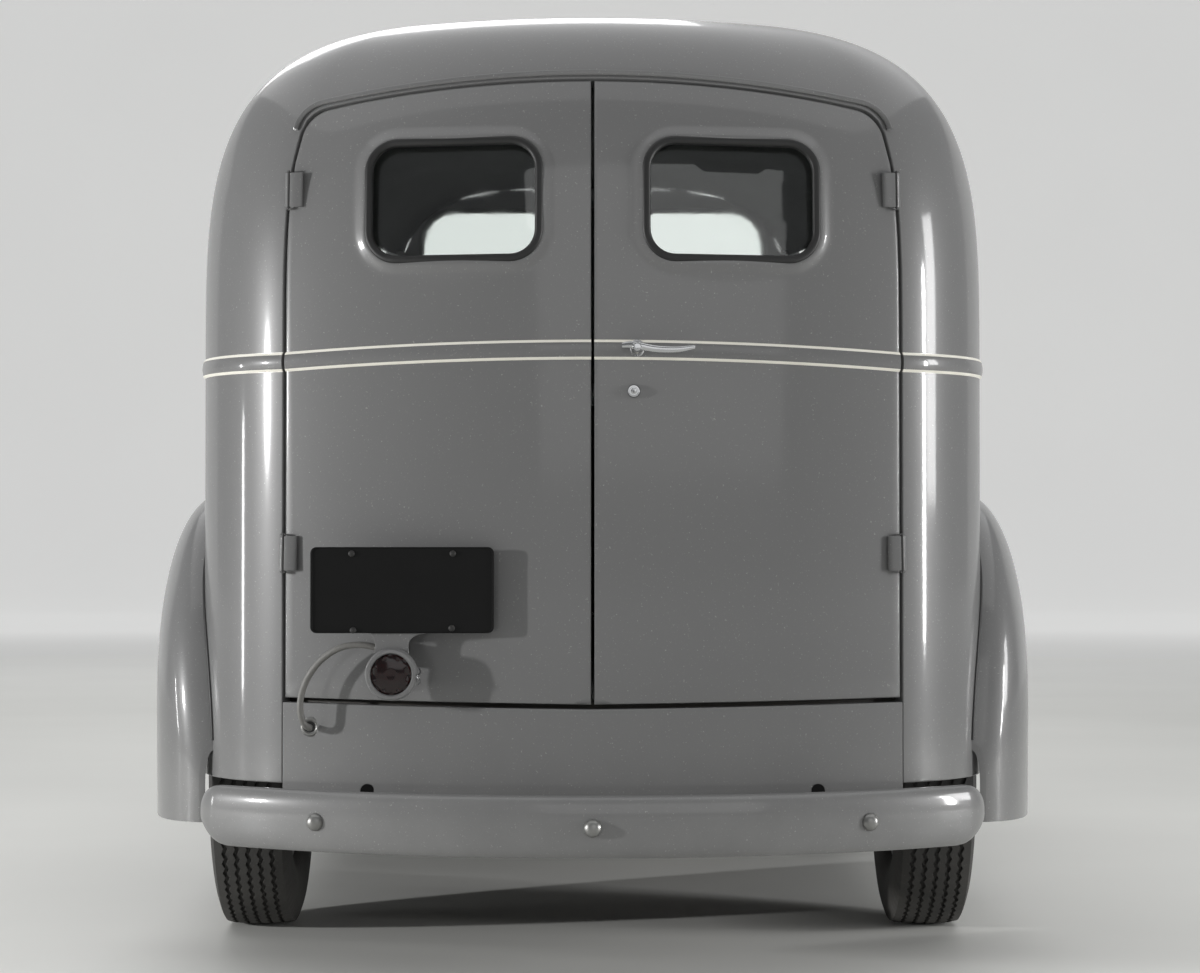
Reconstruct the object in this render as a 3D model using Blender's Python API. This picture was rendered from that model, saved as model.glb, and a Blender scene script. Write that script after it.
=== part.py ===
"""Half-ton panel delivery van of the middle 1940s.

The van faces +Y, its right side is +X and it stands on the plane Z = 0. The origin lies on the
ground below the middle of the van. Lengths are in metres. The body is one formula, a rounded loaf:
a plan outline that is drawn in toward a spine as it rises from the belt line to the roof. Sides,
roof, doors and glass are all cut from that loaf, so they follow each other.
"""

import math

import bmesh
import bpy
import numpy as np
from mathutils import Matrix, Vector

# Clearances
SEAT = 0.0003
PLAY = 0.006
PIN_PLAY = 0.0005
BITE = 0.004

# Whole vehicle
LENGTH = 4.796
WHEELBASE = 2.896
TRACK = 1.473
FRONT_OVERHANG = 0.800
NOSE_Y = LENGTH / 2
FRONT_AXLE_Y = NOSE_Y - FRONT_OVERHANG
REAR_AXLE_Y = FRONT_AXLE_Y - WHEELBASE

# Body loaf
BODY_HALF_WIDTH = 0.800
WALL = 0.030
DOOR_Y = REAR_AXLE_Y - 0.950
SILL_Z = 0.345
CORNER_SILL_Z = 0.380
DOOR_SILL_Z = 0.395
BELT_BASE_Z = 1.200
ROOF_Z = 1.950
LOAF_POWER = 3.75
ROOF_DRAW = 0.800
BOW_SAG = 0.135
REAR_DOOR_HALF = BODY_HALF_WIDTH - 0.193
NARROW_FROM_Y = -0.400
COWL_Y = 0.800
COWL_NARROWING = 0.240
ROOF_FALL = 0.075
BELT_HEIGHT = 0.036
BELT_PROUD = 0.007
BELT_ARCH = 0.016
DRIP_Z = 1.690
LOAF_ANGLES = (8, 16, 24, 32, 40, 49, 58, 68, 79, 90)

# Rear doors
REAR_DOOR_BOTTOM = 0.538
REAR_DOOR_TOP = 1.757
REAR_DOOR_TOP_FALL = 0.160
REAR_DOOR_CORNER = 0.070
REAR_DOOR_BOTTOM_RISE = 0.007
REAR_WINDOW = (0.330, 0.228)
REAR_WINDOW_X = 0.270
REAR_WINDOW_Z = 1.516
REAR_WINDOW_CORNER = 0.055
GLASS = 0.005
HINGE_STANDOFF = 0.014
HINGE_PIN = 0.008
HINGE_LENGTH = 0.070
HINGE_LEAF = 0.034
REAR_HINGE_Z = (0.831, 1.546)

# Cab doors and windshield
CAB_DOOR_FRONT_Y = 0.600
CAB_DOOR_REAR_Y = -0.330
CAB_DOOR_BOTTOM = 0.440
CAB_DOOR_TOP = 1.676
CAB_DOOR_CORNER = 0.090
CAB_WINDOW_BOTTOM = 1.262
CAB_WINDOW_TOP = 1.610
CAB_WINDOW_REAR_Y = -0.240
CAB_HINGE_Z = (0.640, 1.130)
SHIELD_BASE = (0.700, 1.270)
SHIELD_TOP = (0.500, 1.900)
SHIELD_HALF = BODY_HALF_WIDTH - 0.285
SHIELD_OPEN_Z = (1.330, 1.800)
SHIELD_CORNER = 0.090
PILLAR = 0.075

HEAD_GAP = 0.0015

# Floor and frame
FLOOR_TOP = 0.545
FLOOR = 0.030
RAIL_X = 0.380
RAIL_WIDTH = 0.055
RAIL_HEIGHT = 0.095
RAIL_TOP = FLOOR_TOP - FLOOR - SEAT
CROSS_Y = (-2.120, -1.700, -0.750, 0.050, 0.660, 1.740, 2.125)
CROSS_WIDTH = 0.050
ARM_HALF = 0.020
ARM_TOP = 0.335
ARM_GAP = 0.0010
HOUSE = 0.012
HOUSE_X = BODY_HALF_WIDTH - 0.200
SPRING_WIDTH = 0.044
SPRING_HALF = 0.520
SPRING_RISE = 0.090
SPRING_THICK = 0.030
FRONT_BEAM_Z = 0.265
GEARBOX_Y = 0.6855
GEARBOX_Z = 0.380

# Wheels
TYRE_RADIUS = 0.357
TYRE_WIDTH = 0.168
RIM_RADIUS = 0.214
TYRE_SIDES = 24
KINGPIN_INSET = 0.110
EYE_HALF = 0.045
BACK_PLATE_X = (TRACK / 2 - 0.0685, TRACK / 2 - 0.0605)
DRUM_FACE = -0.055
STUB_RADIUS = 0.022
ARM_RADIUS = 0.011
TIE_RADIUS = 0.012
ARM_END = (TRACK / 2 - 0.1365, 0.150)

# Fenders
FENDER = 0.012
REAR_FENDER_HALF = BODY_HALF_WIDTH + 0.135
REAR_FENDER_TOP = 0.965
REAR_FENDER_BOTTOM = 0.262
BOARD_TOP = 0.372
BOARD = 0.037
REAR_ARCH = 0.420
FRONT_FENDER_HALF = BODY_HALF_WIDTH + 0.105
FRONT_FENDER_TOP = 0.935
FRONT_FENDER_BOTTOM = 0.430
FRONT_ARCH = 0.455
REAR_OPENING = 0.400
FRONT_FENDER_ENDS = (0.660, 2.200)
FRONT_FENDER_CENTRE = 1.600
FRONT_POWERS = (3.2, 2.6, 2.5)

# Hood and nose
HOOD_GAP = 0.006
HOOD_Y = COWL_Y + HOOD_GAP
HOOD_NOSE_Y = 2.130
HOOD_REAR_HALF = BODY_HALF_WIDTH - COWL_NARROWING - 0.015
HOOD_NOSE_HALF = 0.200
HOOD_REAR_TOP = 1.262
HOOD_NOSE_TOP = 1.120
HOOD_SHEET = 0.014
HOOD_LOW_Z = 0.930
HOOD_HINGE_X = 0.170
HOOD_POWER = 2.4
GRILLE_HALF = 0.188
GRILLE_TOP = HOOD_LOW_Z - PLAY
GRILLE_Y = HOOD_NOSE_Y + 0.036
GRILLE_SWELL = 0.050
GRILLE_SLOTS = 12
HEADLAMP = (0.560, 2.080, 0.740)
HEADLAMP_RADIUS = 0.098

# Bumpers
BUMPER_HEIGHT = 0.118
BUMPER_Z = 0.318
BUMPER_DEPTH = 0.045
REAR_BUMPER_HALF = BODY_HALF_WIDTH - 0.022
FRONT_BUMPER_HALF = BODY_HALF_WIDTH + 0.030
BOLT_PROUD = 0.014
BOLT_X = 0.530
REAR_BUMPER_Y = -LENGTH / 2 + BOLT_PROUD
FRONT_BUMPER_Y = LENGTH / 2 - BOLT_PROUD
BUMPER_BOW = (1.025, 1.900)

# Left rear door fittings
PLATE_CENTRE = (-0.365, 0.761)
PLATE_SIZE = (0.352, 0.165)
LAMP_CENTRE = (-0.385, 0.600)
LAMP_RADIUS = 0.054
GROMMET = (-0.552, 0.492)
GROMMET_Y = -2.150
PLATE_Y = -2.262


def material(name, colour, roughness, metallic=0.0):
    """Returns a Principled material with a plain colour."""
    made = bpy.data.materials.new(name)
    made.use_nodes = True
    shader = made.node_tree.nodes["Principled BSDF"]
    shader.inputs["Base Color"].default_value = (*colour, 1.0)
    shader.inputs["Roughness"].default_value = roughness
    shader.inputs["Metallic"].default_value = metallic
    return made


def clear_scene():
    """Removes every object, so that only the van is left."""
    for old in list(bpy.data.objects):
        bpy.data.objects.remove(old, do_unlink=True)


def finish_mesh(mesh, smooth_below=35.0):
    """Welds a mesh, turns its faces outward and shades it."""
    shape = bmesh.new()
    shape.from_mesh(mesh)
    bmesh.ops.remove_doubles(shape, verts=shape.verts, dist=1e-5)
    bmesh.ops.dissolve_degenerate(shape, edges=shape.edges, dist=1e-6)
    bmesh.ops.recalc_face_normals(shape, faces=shape.faces)
    if shape.calc_volume(signed=True) < 0:
        bmesh.ops.reverse_faces(shape, faces=shape.faces)
    shape.to_mesh(mesh)
    shape.free()
    mesh.shade_smooth()
    mesh.set_sharp_from_angle(angle=math.radians(smooth_below))
    return mesh


def add_object(name, mesh, look=None):
    """Links a mesh to the scene as a named object."""
    made = bpy.data.objects.new(name, mesh)
    if look is not None:
        mesh.materials.append(look)
    bpy.context.scene.collection.objects.link(made)
    return made


def mesh_from(name, points, faces):
    """Builds a welded mesh from points and faces."""
    mesh = bpy.data.meshes.new(name)
    mesh.from_pydata([tuple(map(float, p)) for p in points], [], faces)
    return finish_mesh(mesh)


def hide_tool(tool):
    """Marks an object as a cutter or an operand, which isn't a piece of the van."""
    tool.hide_render = True
    tool.display_type = "WIRE"
    return tool


def combine(target, tool, operation):
    """Adds an exact Boolean of the tool to the target."""
    hide_tool(tool)
    step = target.modifiers.new(operation.title(), "BOOLEAN")
    step.operation = operation
    step.solver = "EXACT"
    step.object = tool
    return target


def cut(target, *tools):
    """Takes each tool away from the target."""
    for tool in tools:
        combine(target, tool, "DIFFERENCE")
    return target


def keep(target, *tools):
    """Keeps what the target shares with each tool."""
    for tool in tools:
        combine(target, tool, "INTERSECT")
    return target


def fuse(target, *tools):
    """Joins each tool to the target."""
    for tool in tools:
        combine(target, tool, "UNION")
    return target


def grid_faces(rows, columns, start=0, closed=False):
    """Lists the quads of a grid of points, row by row."""
    faces = []
    last = columns if closed else columns - 1
    for r in range(rows - 1):
        for c in range(last):
            d = (c + 1) % columns
            a = start + r * columns
            b = start + (r + 1) * columns
            faces.append((a + c, a + d, b + d, b + c))
    return faces


def sheet(name, outer, inner, look=None, open_sides="rtlb"):
    """Makes a closed solid between two grids of points.

    open_sides names the borders that get a rim: b for the first row, t for the last row, l for the
    first column and r for the last column.
    """
    rows, columns = outer.shape[:2]
    count = rows * columns
    points = np.concatenate([outer.reshape(-1, 3), inner.reshape(-1, 3)])
    faces = grid_faces(rows, columns)
    faces += [tuple(reversed(face)) for face in grid_faces(rows, columns, count)]
    border = {
        "b": [c for c in range(columns)],
        "t": [(rows - 1) * columns + c for c in range(columns)],
        "l": [r * columns for r in range(rows)],
        "r": [r * columns + columns - 1 for r in range(rows)],
    }
    for side in open_sides:
        line = border[side]
        faces += [(a, b, b + count, a + count) for a, b in zip(line, line[1:])]
    return add_object(name, mesh_from(name, points, faces), look)


def rings(name, stack, look=None, capped=True):
    """Makes a closed solid through rings of points, with flat ends."""
    count, sides = stack.shape[:2]
    faces = grid_faces(count, sides, closed=True)
    if capped:
        faces.append(tuple(reversed(range(sides))))
        faces.append(tuple((count - 1) * sides + c for c in range(sides)))
    return add_object(name, mesh_from(name, stack.reshape(-1, 3), faces), look)


def prism(name, outline, axis, low, high, look=None):
    """Extrudes a flat outline along an axis, the outline given in the other two axes in order."""
    flat = np.array(outline, float)
    stack = np.zeros((2, len(flat), 3))
    others = [i for i in range(3) if i != axis]
    stack[:, :, others[0]] = flat[:, 0]
    stack[:, :, others[1]] = flat[:, 1]
    stack[0, :, axis] = low
    stack[1, :, axis] = high
    return rings(name, stack, look)


def box(name, x, y, z, look=None):
    """Makes a box from its three ranges."""
    corners = [(x[0], y[0]), (x[1], y[0]), (x[1], y[1]), (x[0], y[1])]
    return prism(name, corners, 2, z[0], z[1], look)


def boxes(name, ranges, look=None):
    """Makes one mesh of boxes that don't touch."""
    points = []
    faces = []
    for x, y, z in ranges:
        first = len(points)
        points += [
            (a, b, c) for c in z for a, b in ((x[0], y[0]), (x[1], y[0]), (x[1], y[1]), (x[0], y[1]))
        ]
        for quad in ((3, 2, 1, 0), (4, 5, 6, 7), (0, 1, 5, 4), (1, 2, 6, 5), (2, 3, 7, 6), (3, 0, 4, 7)):
            faces.append(tuple(first + i for i in quad))
    return add_object(name, mesh_from(name, points, faces), look)


def turned(name, profile, sides, centre, axis, look=None, phase=0.0):
    """Turns a profile of (distance along the axis, radius) about an axis through the centre."""
    around = np.radians(phase + np.arange(sides) * 360.0 / sides)
    stack = np.zeros((len(profile), sides, 3))
    others = [i for i in range(3) if i != axis]
    for row, (along, radius) in enumerate(profile):
        stack[row, :, axis] = centre[axis] + along
        stack[row, :, others[0]] = centre[others[0]] + radius * np.cos(around)
        stack[row, :, others[1]] = centre[others[1]] + radius * np.sin(around)
    ringed = profile[0] == profile[-1]
    return rings(name, stack, look, capped=not ringed)


def rod(name, start, end, radius, sides=10, look=None):
    """Makes a round bar between two points."""
    start = Vector(start)
    end = Vector(end)
    turn = (end - start).to_track_quat("Z", "Y").to_matrix()
    stack = np.zeros((2, sides, 3))
    for row, middle in enumerate((start, end)):
        for c in range(sides):
            angle = 2 * math.pi * (c + 0.5) / sides
            stack[row, c] = middle + turn @ Vector((radius * math.cos(angle), radius * math.sin(angle), 0))
    return rings(name, stack, look)


def round_corner(before, corner, after, radius, steps=4):
    """Returns the points of an arc that rounds a corner of an outline."""
    corner = Vector(corner)
    first = (Vector(before) - corner).normalized()
    second = (Vector(after) - corner).normalized()
    half = first.angle(second) / 2
    reach = radius / math.tan(half)
    centre = corner + (first + second).normalized() * radius / math.sin(half)
    start = corner + first * reach - centre
    sweep = math.pi - 2 * half
    if start.x * (corner - centre).y - start.y * (corner - centre).x < 0:
        sweep = -sweep
    turns = [Matrix.Rotation(sweep * i / steps, 2) for i in range(steps + 1)]
    return [tuple(centre + turn @ start) for turn in turns]


def rounded_outline(corners, radius, steps=4):
    """Rounds every corner of a flat outline."""
    made = []
    for i, corner in enumerate(corners):
        made += round_corner(corners[i - 1], corner, corners[(i + 1) % len(corners)], radius, steps)
    return made


def mirrored(outline):
    """Returns an outline reflected to the other side of the van."""
    return [(-x, z) for x, z in reversed(outline)]


# The loaf


def side_width(y):
    """Half-width of the body's outer skin at a station, which narrows from the cab doors to the cowl."""
    share = np.clip((y - NARROW_FROM_Y) / (COWL_Y - NARROW_FROM_Y), 0.0, None)
    return BODY_HALF_WIDTH - COWL_NARROWING * share**1.5


def bow_radius():
    """Radius of the bowed rear in plan."""
    return (REAR_DOOR_HALF**2 + BOW_SAG**2) / (2 * BOW_SAG)


def bow_y(x, offset=0.0):
    """Y of the bowed rear surface at a distance from the middle; offset moves it rearward."""
    radius = bow_radius() + offset
    return DOOR_Y + bow_radius() - np.sqrt(radius**2 - np.asarray(x) ** 2)


def plan_half(inset):
    """Right half of the plan outline from the rear middle to the cowl, as an array of (x, y)."""
    bow = bow_radius()
    edge = math.asin(REAR_DOOR_HALF / bow)
    corner = (BODY_HALF_WIDTH - REAR_DOOR_HALF) / (1 - math.sin(edge))
    corner_x = BODY_HALF_WIDTH - corner
    corner_y = DOOR_Y + bow - (bow - corner) * math.cos(edge)
    points = []
    for angle in np.linspace(0, edge, 6):
        points.append(((bow - inset) * math.sin(angle), DOOR_Y + bow - (bow - inset) * math.cos(angle)))
    for angle in np.linspace(edge, math.pi / 2, 7)[1:]:
        points.append(
            (corner_x + (corner - inset) * math.sin(angle), corner_y - (corner - inset) * math.cos(angle))
        )
    for y in (DOOR_Y + ROOF_DRAW, -0.9, NARROW_FROM_Y, -0.1, 0.2, 0.5, COWL_Y):
        points.append((float(side_width(y)) - inset, y))
    return np.array(points)


def roof_height(y):
    """Height of the loaf above its base at a station; the roof falls gently toward the windshield."""
    share = np.clip((y + 1.0) / 1.8, 0.0, None)
    return ROOF_Z - BELT_BASE_Z - ROOF_FALL * share**2


def loaf_points(inset, belt=True):
    """Grid of points on the loaf's skin, one row per height, from the right cowl round to the left."""
    half = plan_half(inset)
    mirror = half[1:] * (-1, 1)
    plan = np.concatenate([half[::-1], mirror])
    x = plan[:, 0]
    y = plan[:, 1]
    arch = BELT_ARCH * np.clip(1 - (x / REAR_DOOR_HALF) ** 2, 0.0, None) * (y < DOOR_Y + ROOF_DRAW)
    low = BELT_BASE_Z - 0.011 + arch
    edges = np.array([0.0, 0.003, BELT_HEIGHT - 0.003, BELT_HEIGHT])
    proud = np.array([0.0, BELT_PROUD, BELT_PROUD, 0.0]) * belt
    rows = [np.stack([x, y, np.full_like(x, SILL_Z)], 1)]
    outward = np.gradient(plan, axis=0)
    outward = np.stack([outward[:, 1], -outward[:, 0]], 1)
    outward /= np.linalg.norm(outward, axis=1, keepdims=True)
    outward *= np.sign((outward * (plan - (0, COWL_Y * 0.5))).sum(1, keepdims=True))
    outward[[0, -1]] = ((1, 0), (-1, 0))
    for lift, out in zip(edges, proud):
        rows.append(np.stack([x + out * outward[:, 0], y + out * outward[:, 1], low + lift], 1))
    for angle in np.radians(LOAF_ANGLES):
        draw = max(math.cos(angle), 0.0) ** (2 / LOAF_POWER) if angle < math.pi / 2 - 1e-6 else 0.0
        rise = math.sin(angle) ** (2 / LOAF_POWER)
        spine = DOOR_Y + ROOF_DRAW
        drawn_y = np.where(y < spine, spine + (y - spine) * draw, y)
        height = roof_height(drawn_y) - inset
        rows.append(np.stack([x * draw, drawn_y, BELT_BASE_Z + height * rise], 1))
    return np.stack(rows)


def loaf_shell(name, outer_inset, inner_inset, look=None, belt=True):
    """Makes a hollow loaf, open at the bottom and at the cowl."""
    return sheet(name, loaf_points(outer_inset, belt), loaf_points(inner_inset, False), look, "blr")


def loaf_solid(name, inset):
    """Makes a filled loaf, closed at the bottom and at the cowl."""
    grid = loaf_points(inset, False)
    rows, columns = grid.shape[:2]
    faces = grid_faces(rows, columns)
    faces.append(tuple(range(columns)))
    right = [r * columns for r in range(rows)]
    left = [r * columns + columns - 1 for r in reversed(range(rows))]
    faces.append(tuple(right + left[1:]))
    return add_object(name, mesh_from(name, grid.reshape(-1, 3), faces))


def loaf_draw(z):
    """Share of the plan outline that is left at a height, on the rear of the body."""
    rise = np.clip((np.asarray(z, float) - BELT_BASE_Z) / (ROOF_Z - BELT_BASE_Z), 0.0, 1.0)
    return (1 - rise**LOAF_POWER) ** (1 / LOAF_POWER)


def shield_y(z):
    """Y of the windshield plane's front face at a height."""
    (base_y, base_z), (top_y, top_z) = SHIELD_BASE, SHIELD_TOP
    return base_y + (z - base_z) * (top_y - base_y) / (top_z - base_z)


# Outlines of openings


def rear_door_outline(grow, middle=0.0):
    """Outline of the right rear door in X and Z, grown or shrunk about the real gap line."""
    bottom_middle = (middle, REAR_DOOR_BOTTOM - grow)
    bottom_edge = (REAR_DOOR_HALF + grow, REAR_DOOR_BOTTOM + REAR_DOOR_BOTTOM_RISE - grow)
    heights = np.linspace(BELT_BASE_Z, 1.60, 5)
    side = [(float((REAR_DOOR_HALF + grow) * loaf_draw(z)), float(z)) for z in heights]
    top_z = REAR_DOOR_TOP - REAR_DOOR_TOP_FALL * REAR_DOOR_HALF**2 * 0.88
    corner = (float((REAR_DOOR_HALF + grow) * loaf_draw(top_z)), top_z + grow)
    tops = [0.44, 0.32, 0.16, middle]
    top = [(x, REAR_DOOR_TOP - REAR_DOOR_TOP_FALL * x * x + grow) for x in tops]
    arc = round_corner(side[-1], corner, top[0], REAR_DOOR_CORNER)
    return [bottom_middle, bottom_edge, *side, *arc, *top]


def rear_window_outline(grow):
    """Outline of the right rear window in X and Z."""
    half_x = REAR_WINDOW[0] / 2 + grow
    half_z = REAR_WINDOW[1] / 2 + grow
    x = REAR_WINDOW_X
    z = REAR_WINDOW_Z
    corners = [
        (x - half_x, z - half_z),
        (x + half_x, z - half_z),
        (x + half_x, z + half_z),
        (x - half_x, z + half_z),
    ]
    return rounded_outline(corners, REAR_WINDOW_CORNER + grow)


def cab_front_y(z):
    """Y of the cab door's front edge, which leans with the windshield pillar above the belt."""
    return np.minimum(CAB_DOOR_FRONT_Y, shield_y(z) - PILLAR)


def cab_door_outline(grow):
    """Outline of a cab door in Y and Z."""
    front = CAB_DOOR_FRONT_Y + grow
    lean_z = SHIELD_BASE[1] + 0.02
    top_front = float(cab_front_y(CAB_DOOR_TOP)) + grow
    corners = [
        (CAB_DOOR_REAR_Y - grow, CAB_DOOR_BOTTOM - grow),
        (front, CAB_DOOR_BOTTOM - grow),
        (front, lean_z),
        (top_front, CAB_DOOR_TOP + grow),
        (CAB_DOOR_REAR_Y - grow, CAB_DOOR_TOP + grow),
    ]
    made = []
    for i, radius in enumerate((0.05, 0.05, 0.0, 0.07, CAB_DOOR_CORNER)):
        if radius:
            made += round_corner(corners[i - 1], corners[i], corners[(i + 1) % 5], radius, 3)
        else:
            made.append(corners[i])
    return made


def cab_window_outline(grow):
    """Outline of a cab door's window in Y and Z."""
    border = 0.060
    front_low = CAB_DOOR_FRONT_Y - border + grow
    front_high = float(cab_front_y(CAB_WINDOW_TOP)) - border + grow
    corners = [
        (CAB_WINDOW_REAR_Y - grow, CAB_WINDOW_BOTTOM - grow),
        (front_low, CAB_WINDOW_BOTTOM - grow),
        (front_high, CAB_WINDOW_TOP + grow),
        (CAB_WINDOW_REAR_Y - grow, CAB_WINDOW_TOP + grow),
    ]
    return rounded_outline(corners, 0.045 + grow, 3)


# Body shell pieces


def add_roof(paint):
    """Roof above the drip rails, with the rear header over the doors."""
    roof = loaf_shell("roof", 0.0, WALL, paint)
    above = box("roof_zone", (-1, 1), (-3, 1), (DRIP_Z + SEAT, 3))
    doors = prism(
        "rear_opening", rear_door_outline(PLAY / 2) + mirrored(rear_door_outline(PLAY / 2)), 1, -3, -1.9
    )
    keep(roof, above)
    cut(roof, doors, add_shield_cutter("roof_front"))
    return roof


def add_shield_cutter(name, back=0.0):
    """Block that takes away all that lies ahead of the windshield plane."""
    high = 2.2
    outline = [
        (SHIELD_BASE[0] - back, SHIELD_BASE[1]),
        (2.0, SHIELD_BASE[1]),
        (2.0, high),
        (float(shield_y(high)) - back, high),
    ]
    return prism(name, outline, 0, -1, 1)


def add_body_side(side, name, paint):
    """Side panel from the cab door to the rear door, with the rounded rear corner."""
    panel = loaf_shell(name, 0.0, WALL, paint)
    far = 1.0 if side > 0 else -1.0
    inner = (REAR_DOOR_HALF + PLAY / 2) * float(loaf_draw(DRIP_Z)) - REAR_DOOR_CORNER
    past = CAB_DOOR_REAR_Y + CAB_DOOR_CORNER
    zone = box(name + "_zone", sorted((side * inner, far)), (-3, past), (CORNER_SILL_Z, DRIP_Z - SEAT))
    sill_ends = (CAB_DOOR_REAR_Y, sill_front())
    sill = box(
        name + "_sill", sorted((side * inner, far)), sill_ends, (DOOR_SILL_Z, CAB_DOOR_BOTTOM - PLAY - SEAT)
    )
    fuse(zone, sill)
    gap = rear_door_outline(PLAY / 2)
    below = [(inner * 0.5, 0.0), (gap[1][0], 0.0)]
    gap = below + gap[1:-4] + [(inner * 0.5, gap[-4][1])]
    if side < 0:
        gap = mirrored(gap)
    arch = turned(
        name + "_arch", [(-0.2, REAR_ARCH), (0.2, REAR_ARCH)], 40, (side * 0.8, REAR_AXLE_Y, TYRE_RADIUS), 0
    )
    keep(panel, zone)
    cut(panel, prism(name + "_gap", gap, 1, -3, -1.9), arch)
    low = box(name + "_low", sorted((0, far)), (REAR_AXLE_Y, past + PLAY), (0, DOOR_SILL_Z))
    ends = sorted((0.3 * side, far))
    cut(panel, low, prism(name + "_cab_gap", cab_door_outline(PLAY), 0, *ends))
    return panel


def add_rear_apron(paint):
    """Apron below the rear doors."""
    apron = loaf_shell("rear_apron", 0.0, WALL, paint)
    half = REAR_DOOR_HALF + PLAY / 2 - SEAT
    top = REAR_DOOR_BOTTOM - PLAY
    high = top + REAR_DOOR_BOTTOM_RISE
    outline = [(-half, 0.3), (half, 0.3), (half, high), (0, top), (-half, high)]
    return keep(apron, prism("apron_zone", outline, 1, -3, -1.9))


def add_rear_door(side, name, paint, hinge):
    """Rear door with its window cut."""
    door = loaf_shell(name, 0.0, WALL, paint)
    outline = rear_door_outline(-PLAY / 2, PLAY / 2)
    window = rear_window_outline(0.0)
    if side < 0:
        outline = mirrored(outline)
        window = mirrored(window)
    keep(door, prism(name + "_zone", outline, 1, -3, -1.9))
    cut(door, prism(name + "_window", window, 1, -3, -1.9))
    door.parent = hinge
    door.matrix_parent_inverse = hinge.matrix_world.inverted()
    return door


def add_rear_glass(side, name, glass, hinge):
    """Pane of a rear door, let into the middle of the door."""
    pane = loaf_shell(name, (WALL - GLASS) / 2, (WALL + GLASS) / 2, glass, False)
    window = rear_window_outline(-SEAT)
    if side < 0:
        window = mirrored(window)
    keep(pane, prism(name + "_zone", window, 1, -3, -1.9))
    pane.parent = hinge
    pane.matrix_parent_inverse = hinge.matrix_world.inverted()
    return pane


def add_cab_door(side, name, paint, hinge):
    """Cab door with its window cut."""
    door = loaf_shell(name, 0.0, WALL, paint)
    ends = (0.3, 1.0) if side > 0 else (-1.0, -0.3)
    keep(door, prism(name + "_zone", cab_door_outline(-PLAY / 2), 0, *ends))
    cut(door, prism(name + "_window", cab_window_outline(0.0), 0, *ends))
    door.parent = hinge
    door.matrix_parent_inverse = hinge.matrix_world.inverted()
    return door


def add_cab_glass(side, name, glass, hinge):
    """Pane of a cab door."""
    pane = loaf_shell(name, (WALL - GLASS) / 2, (WALL + GLASS) / 2, glass, False)
    ends = (0.3, 1.0) if side > 0 else (-1.0, -0.3)
    keep(pane, prism(name + "_zone", cab_window_outline(-SEAT), 0, *ends))
    pane.parent = hinge
    pane.matrix_parent_inverse = hinge.matrix_world.inverted()
    return pane


def shield_slab(name, front, back, low, high):
    """Slab parallel to the windshield, between two depths behind its plane."""
    outline = [
        (float(shield_y(low)) - back, low),
        (float(shield_y(low)) - front, low),
        (float(shield_y(high)) - front, high),
        (float(shield_y(high)) - back, high),
    ]
    return prism(name, outline, 0, -1, 1)


def add_shield_opening(name, grow):
    """Cutter of the windshield opening, with its rounded top corners and the middle bar left out."""
    low, high = SHIELD_OPEN_Z
    bar = 0.014 - grow
    corners = [
        (bar, low - grow),
        (SHIELD_HALF + grow, low - grow),
        (SHIELD_HALF * 0.93 + grow, high + grow),
        (bar, high + grow),
    ]
    outline = []
    for i, radius in enumerate((0.02, 0.05, SHIELD_CORNER, 0.02)):
        outline += round_corner(corners[i - 1], corners[i], corners[(i + 1) % 4], radius + grow)
    right = prism(name + "_right", outline, 1, 0.3, 0.9)
    left = prism(name + "_left", mirrored(outline), 1, 0.3, 0.9)
    return right, left


def sill_front():
    """Y at which the sill below a cab door meets the cowl."""
    return CAB_DOOR_FRONT_Y - CAB_DOOR_CORNER


def add_cowl(paint):
    """Cowl sides, firewall, cowl top, dash, windshield pillars and windshield frame."""
    cowl = loaf_shell("cowl", 0.0, WALL, paint)
    bend = [(y, z) for y, z in cab_door_outline(PLAY) if y > sill_front() and z < BELT_BASE_Z / 2]
    side_zone = [
        (sill_front() + SEAT, DOOR_SILL_Z),
        (2.0, DOOR_SILL_Z),
        (2.0, DRIP_Z - SEAT),
        (float(cab_front_y(DRIP_Z)) + PLAY, DRIP_Z - SEAT),
        (CAB_DOOR_FRONT_Y + PLAY, SHIELD_BASE[1] + 0.02),
        *reversed(bend),
        (sill_front() + SEAT, CAB_DOOR_BOTTOM - PLAY),
    ]
    keep(cowl, prism("cowl_zone", side_zone, 0, -1, 1))
    cut(cowl, add_shield_cutter("cowl_front"))
    frame = loaf_solid("shield_frame", WALL - BITE)
    keep(frame, shield_slab("shield_slab", 0.0, WALL, 1.24, ROOF_Z))
    head = loaf_solid("shield_head_limit", WALL + HEAD_GAP)
    upper = box("shield_upper", (-1, 1), (0, 2), (DRIP_Z - 0.001, 3))
    lower = box("shield_lower", (-1, 1), (0, 2), (1.0, DRIP_Z - 0.001))
    keep(upper, head)
    fuse(upper, lower)
    keep(frame, upper)
    wall = loaf_solid("firewall", WALL - BITE)
    keep(
        wall,
        box(
            "firewall_zone",
            (-1, 1),
            (COWL_Y - 0.030, COWL_Y - 0.001),
            (FLOOR_TOP + SEAT, SHIELD_BASE[1] - 0.002),
        ),
    )
    top = loaf_solid("cowl_top", WALL - BITE)
    keep(
        top,
        box("cowl_top_zone", (-1, 1), (0.665, COWL_Y - 0.001), (SHIELD_BASE[1] - 0.030, SHIELD_BASE[1])),
    )
    dash = loaf_solid("dash", WALL - BITE)
    keep(dash, box("dash_zone", (-1, 1), (CAB_DOOR_FRONT_Y + 0.02, 0.700), (1.100, SHIELD_BASE[1] - 0.002)))
    fuse(cowl, frame, wall, top, dash)
    cut(cowl, *add_shield_opening("shield_hole", 0.0))
    return cowl


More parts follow.
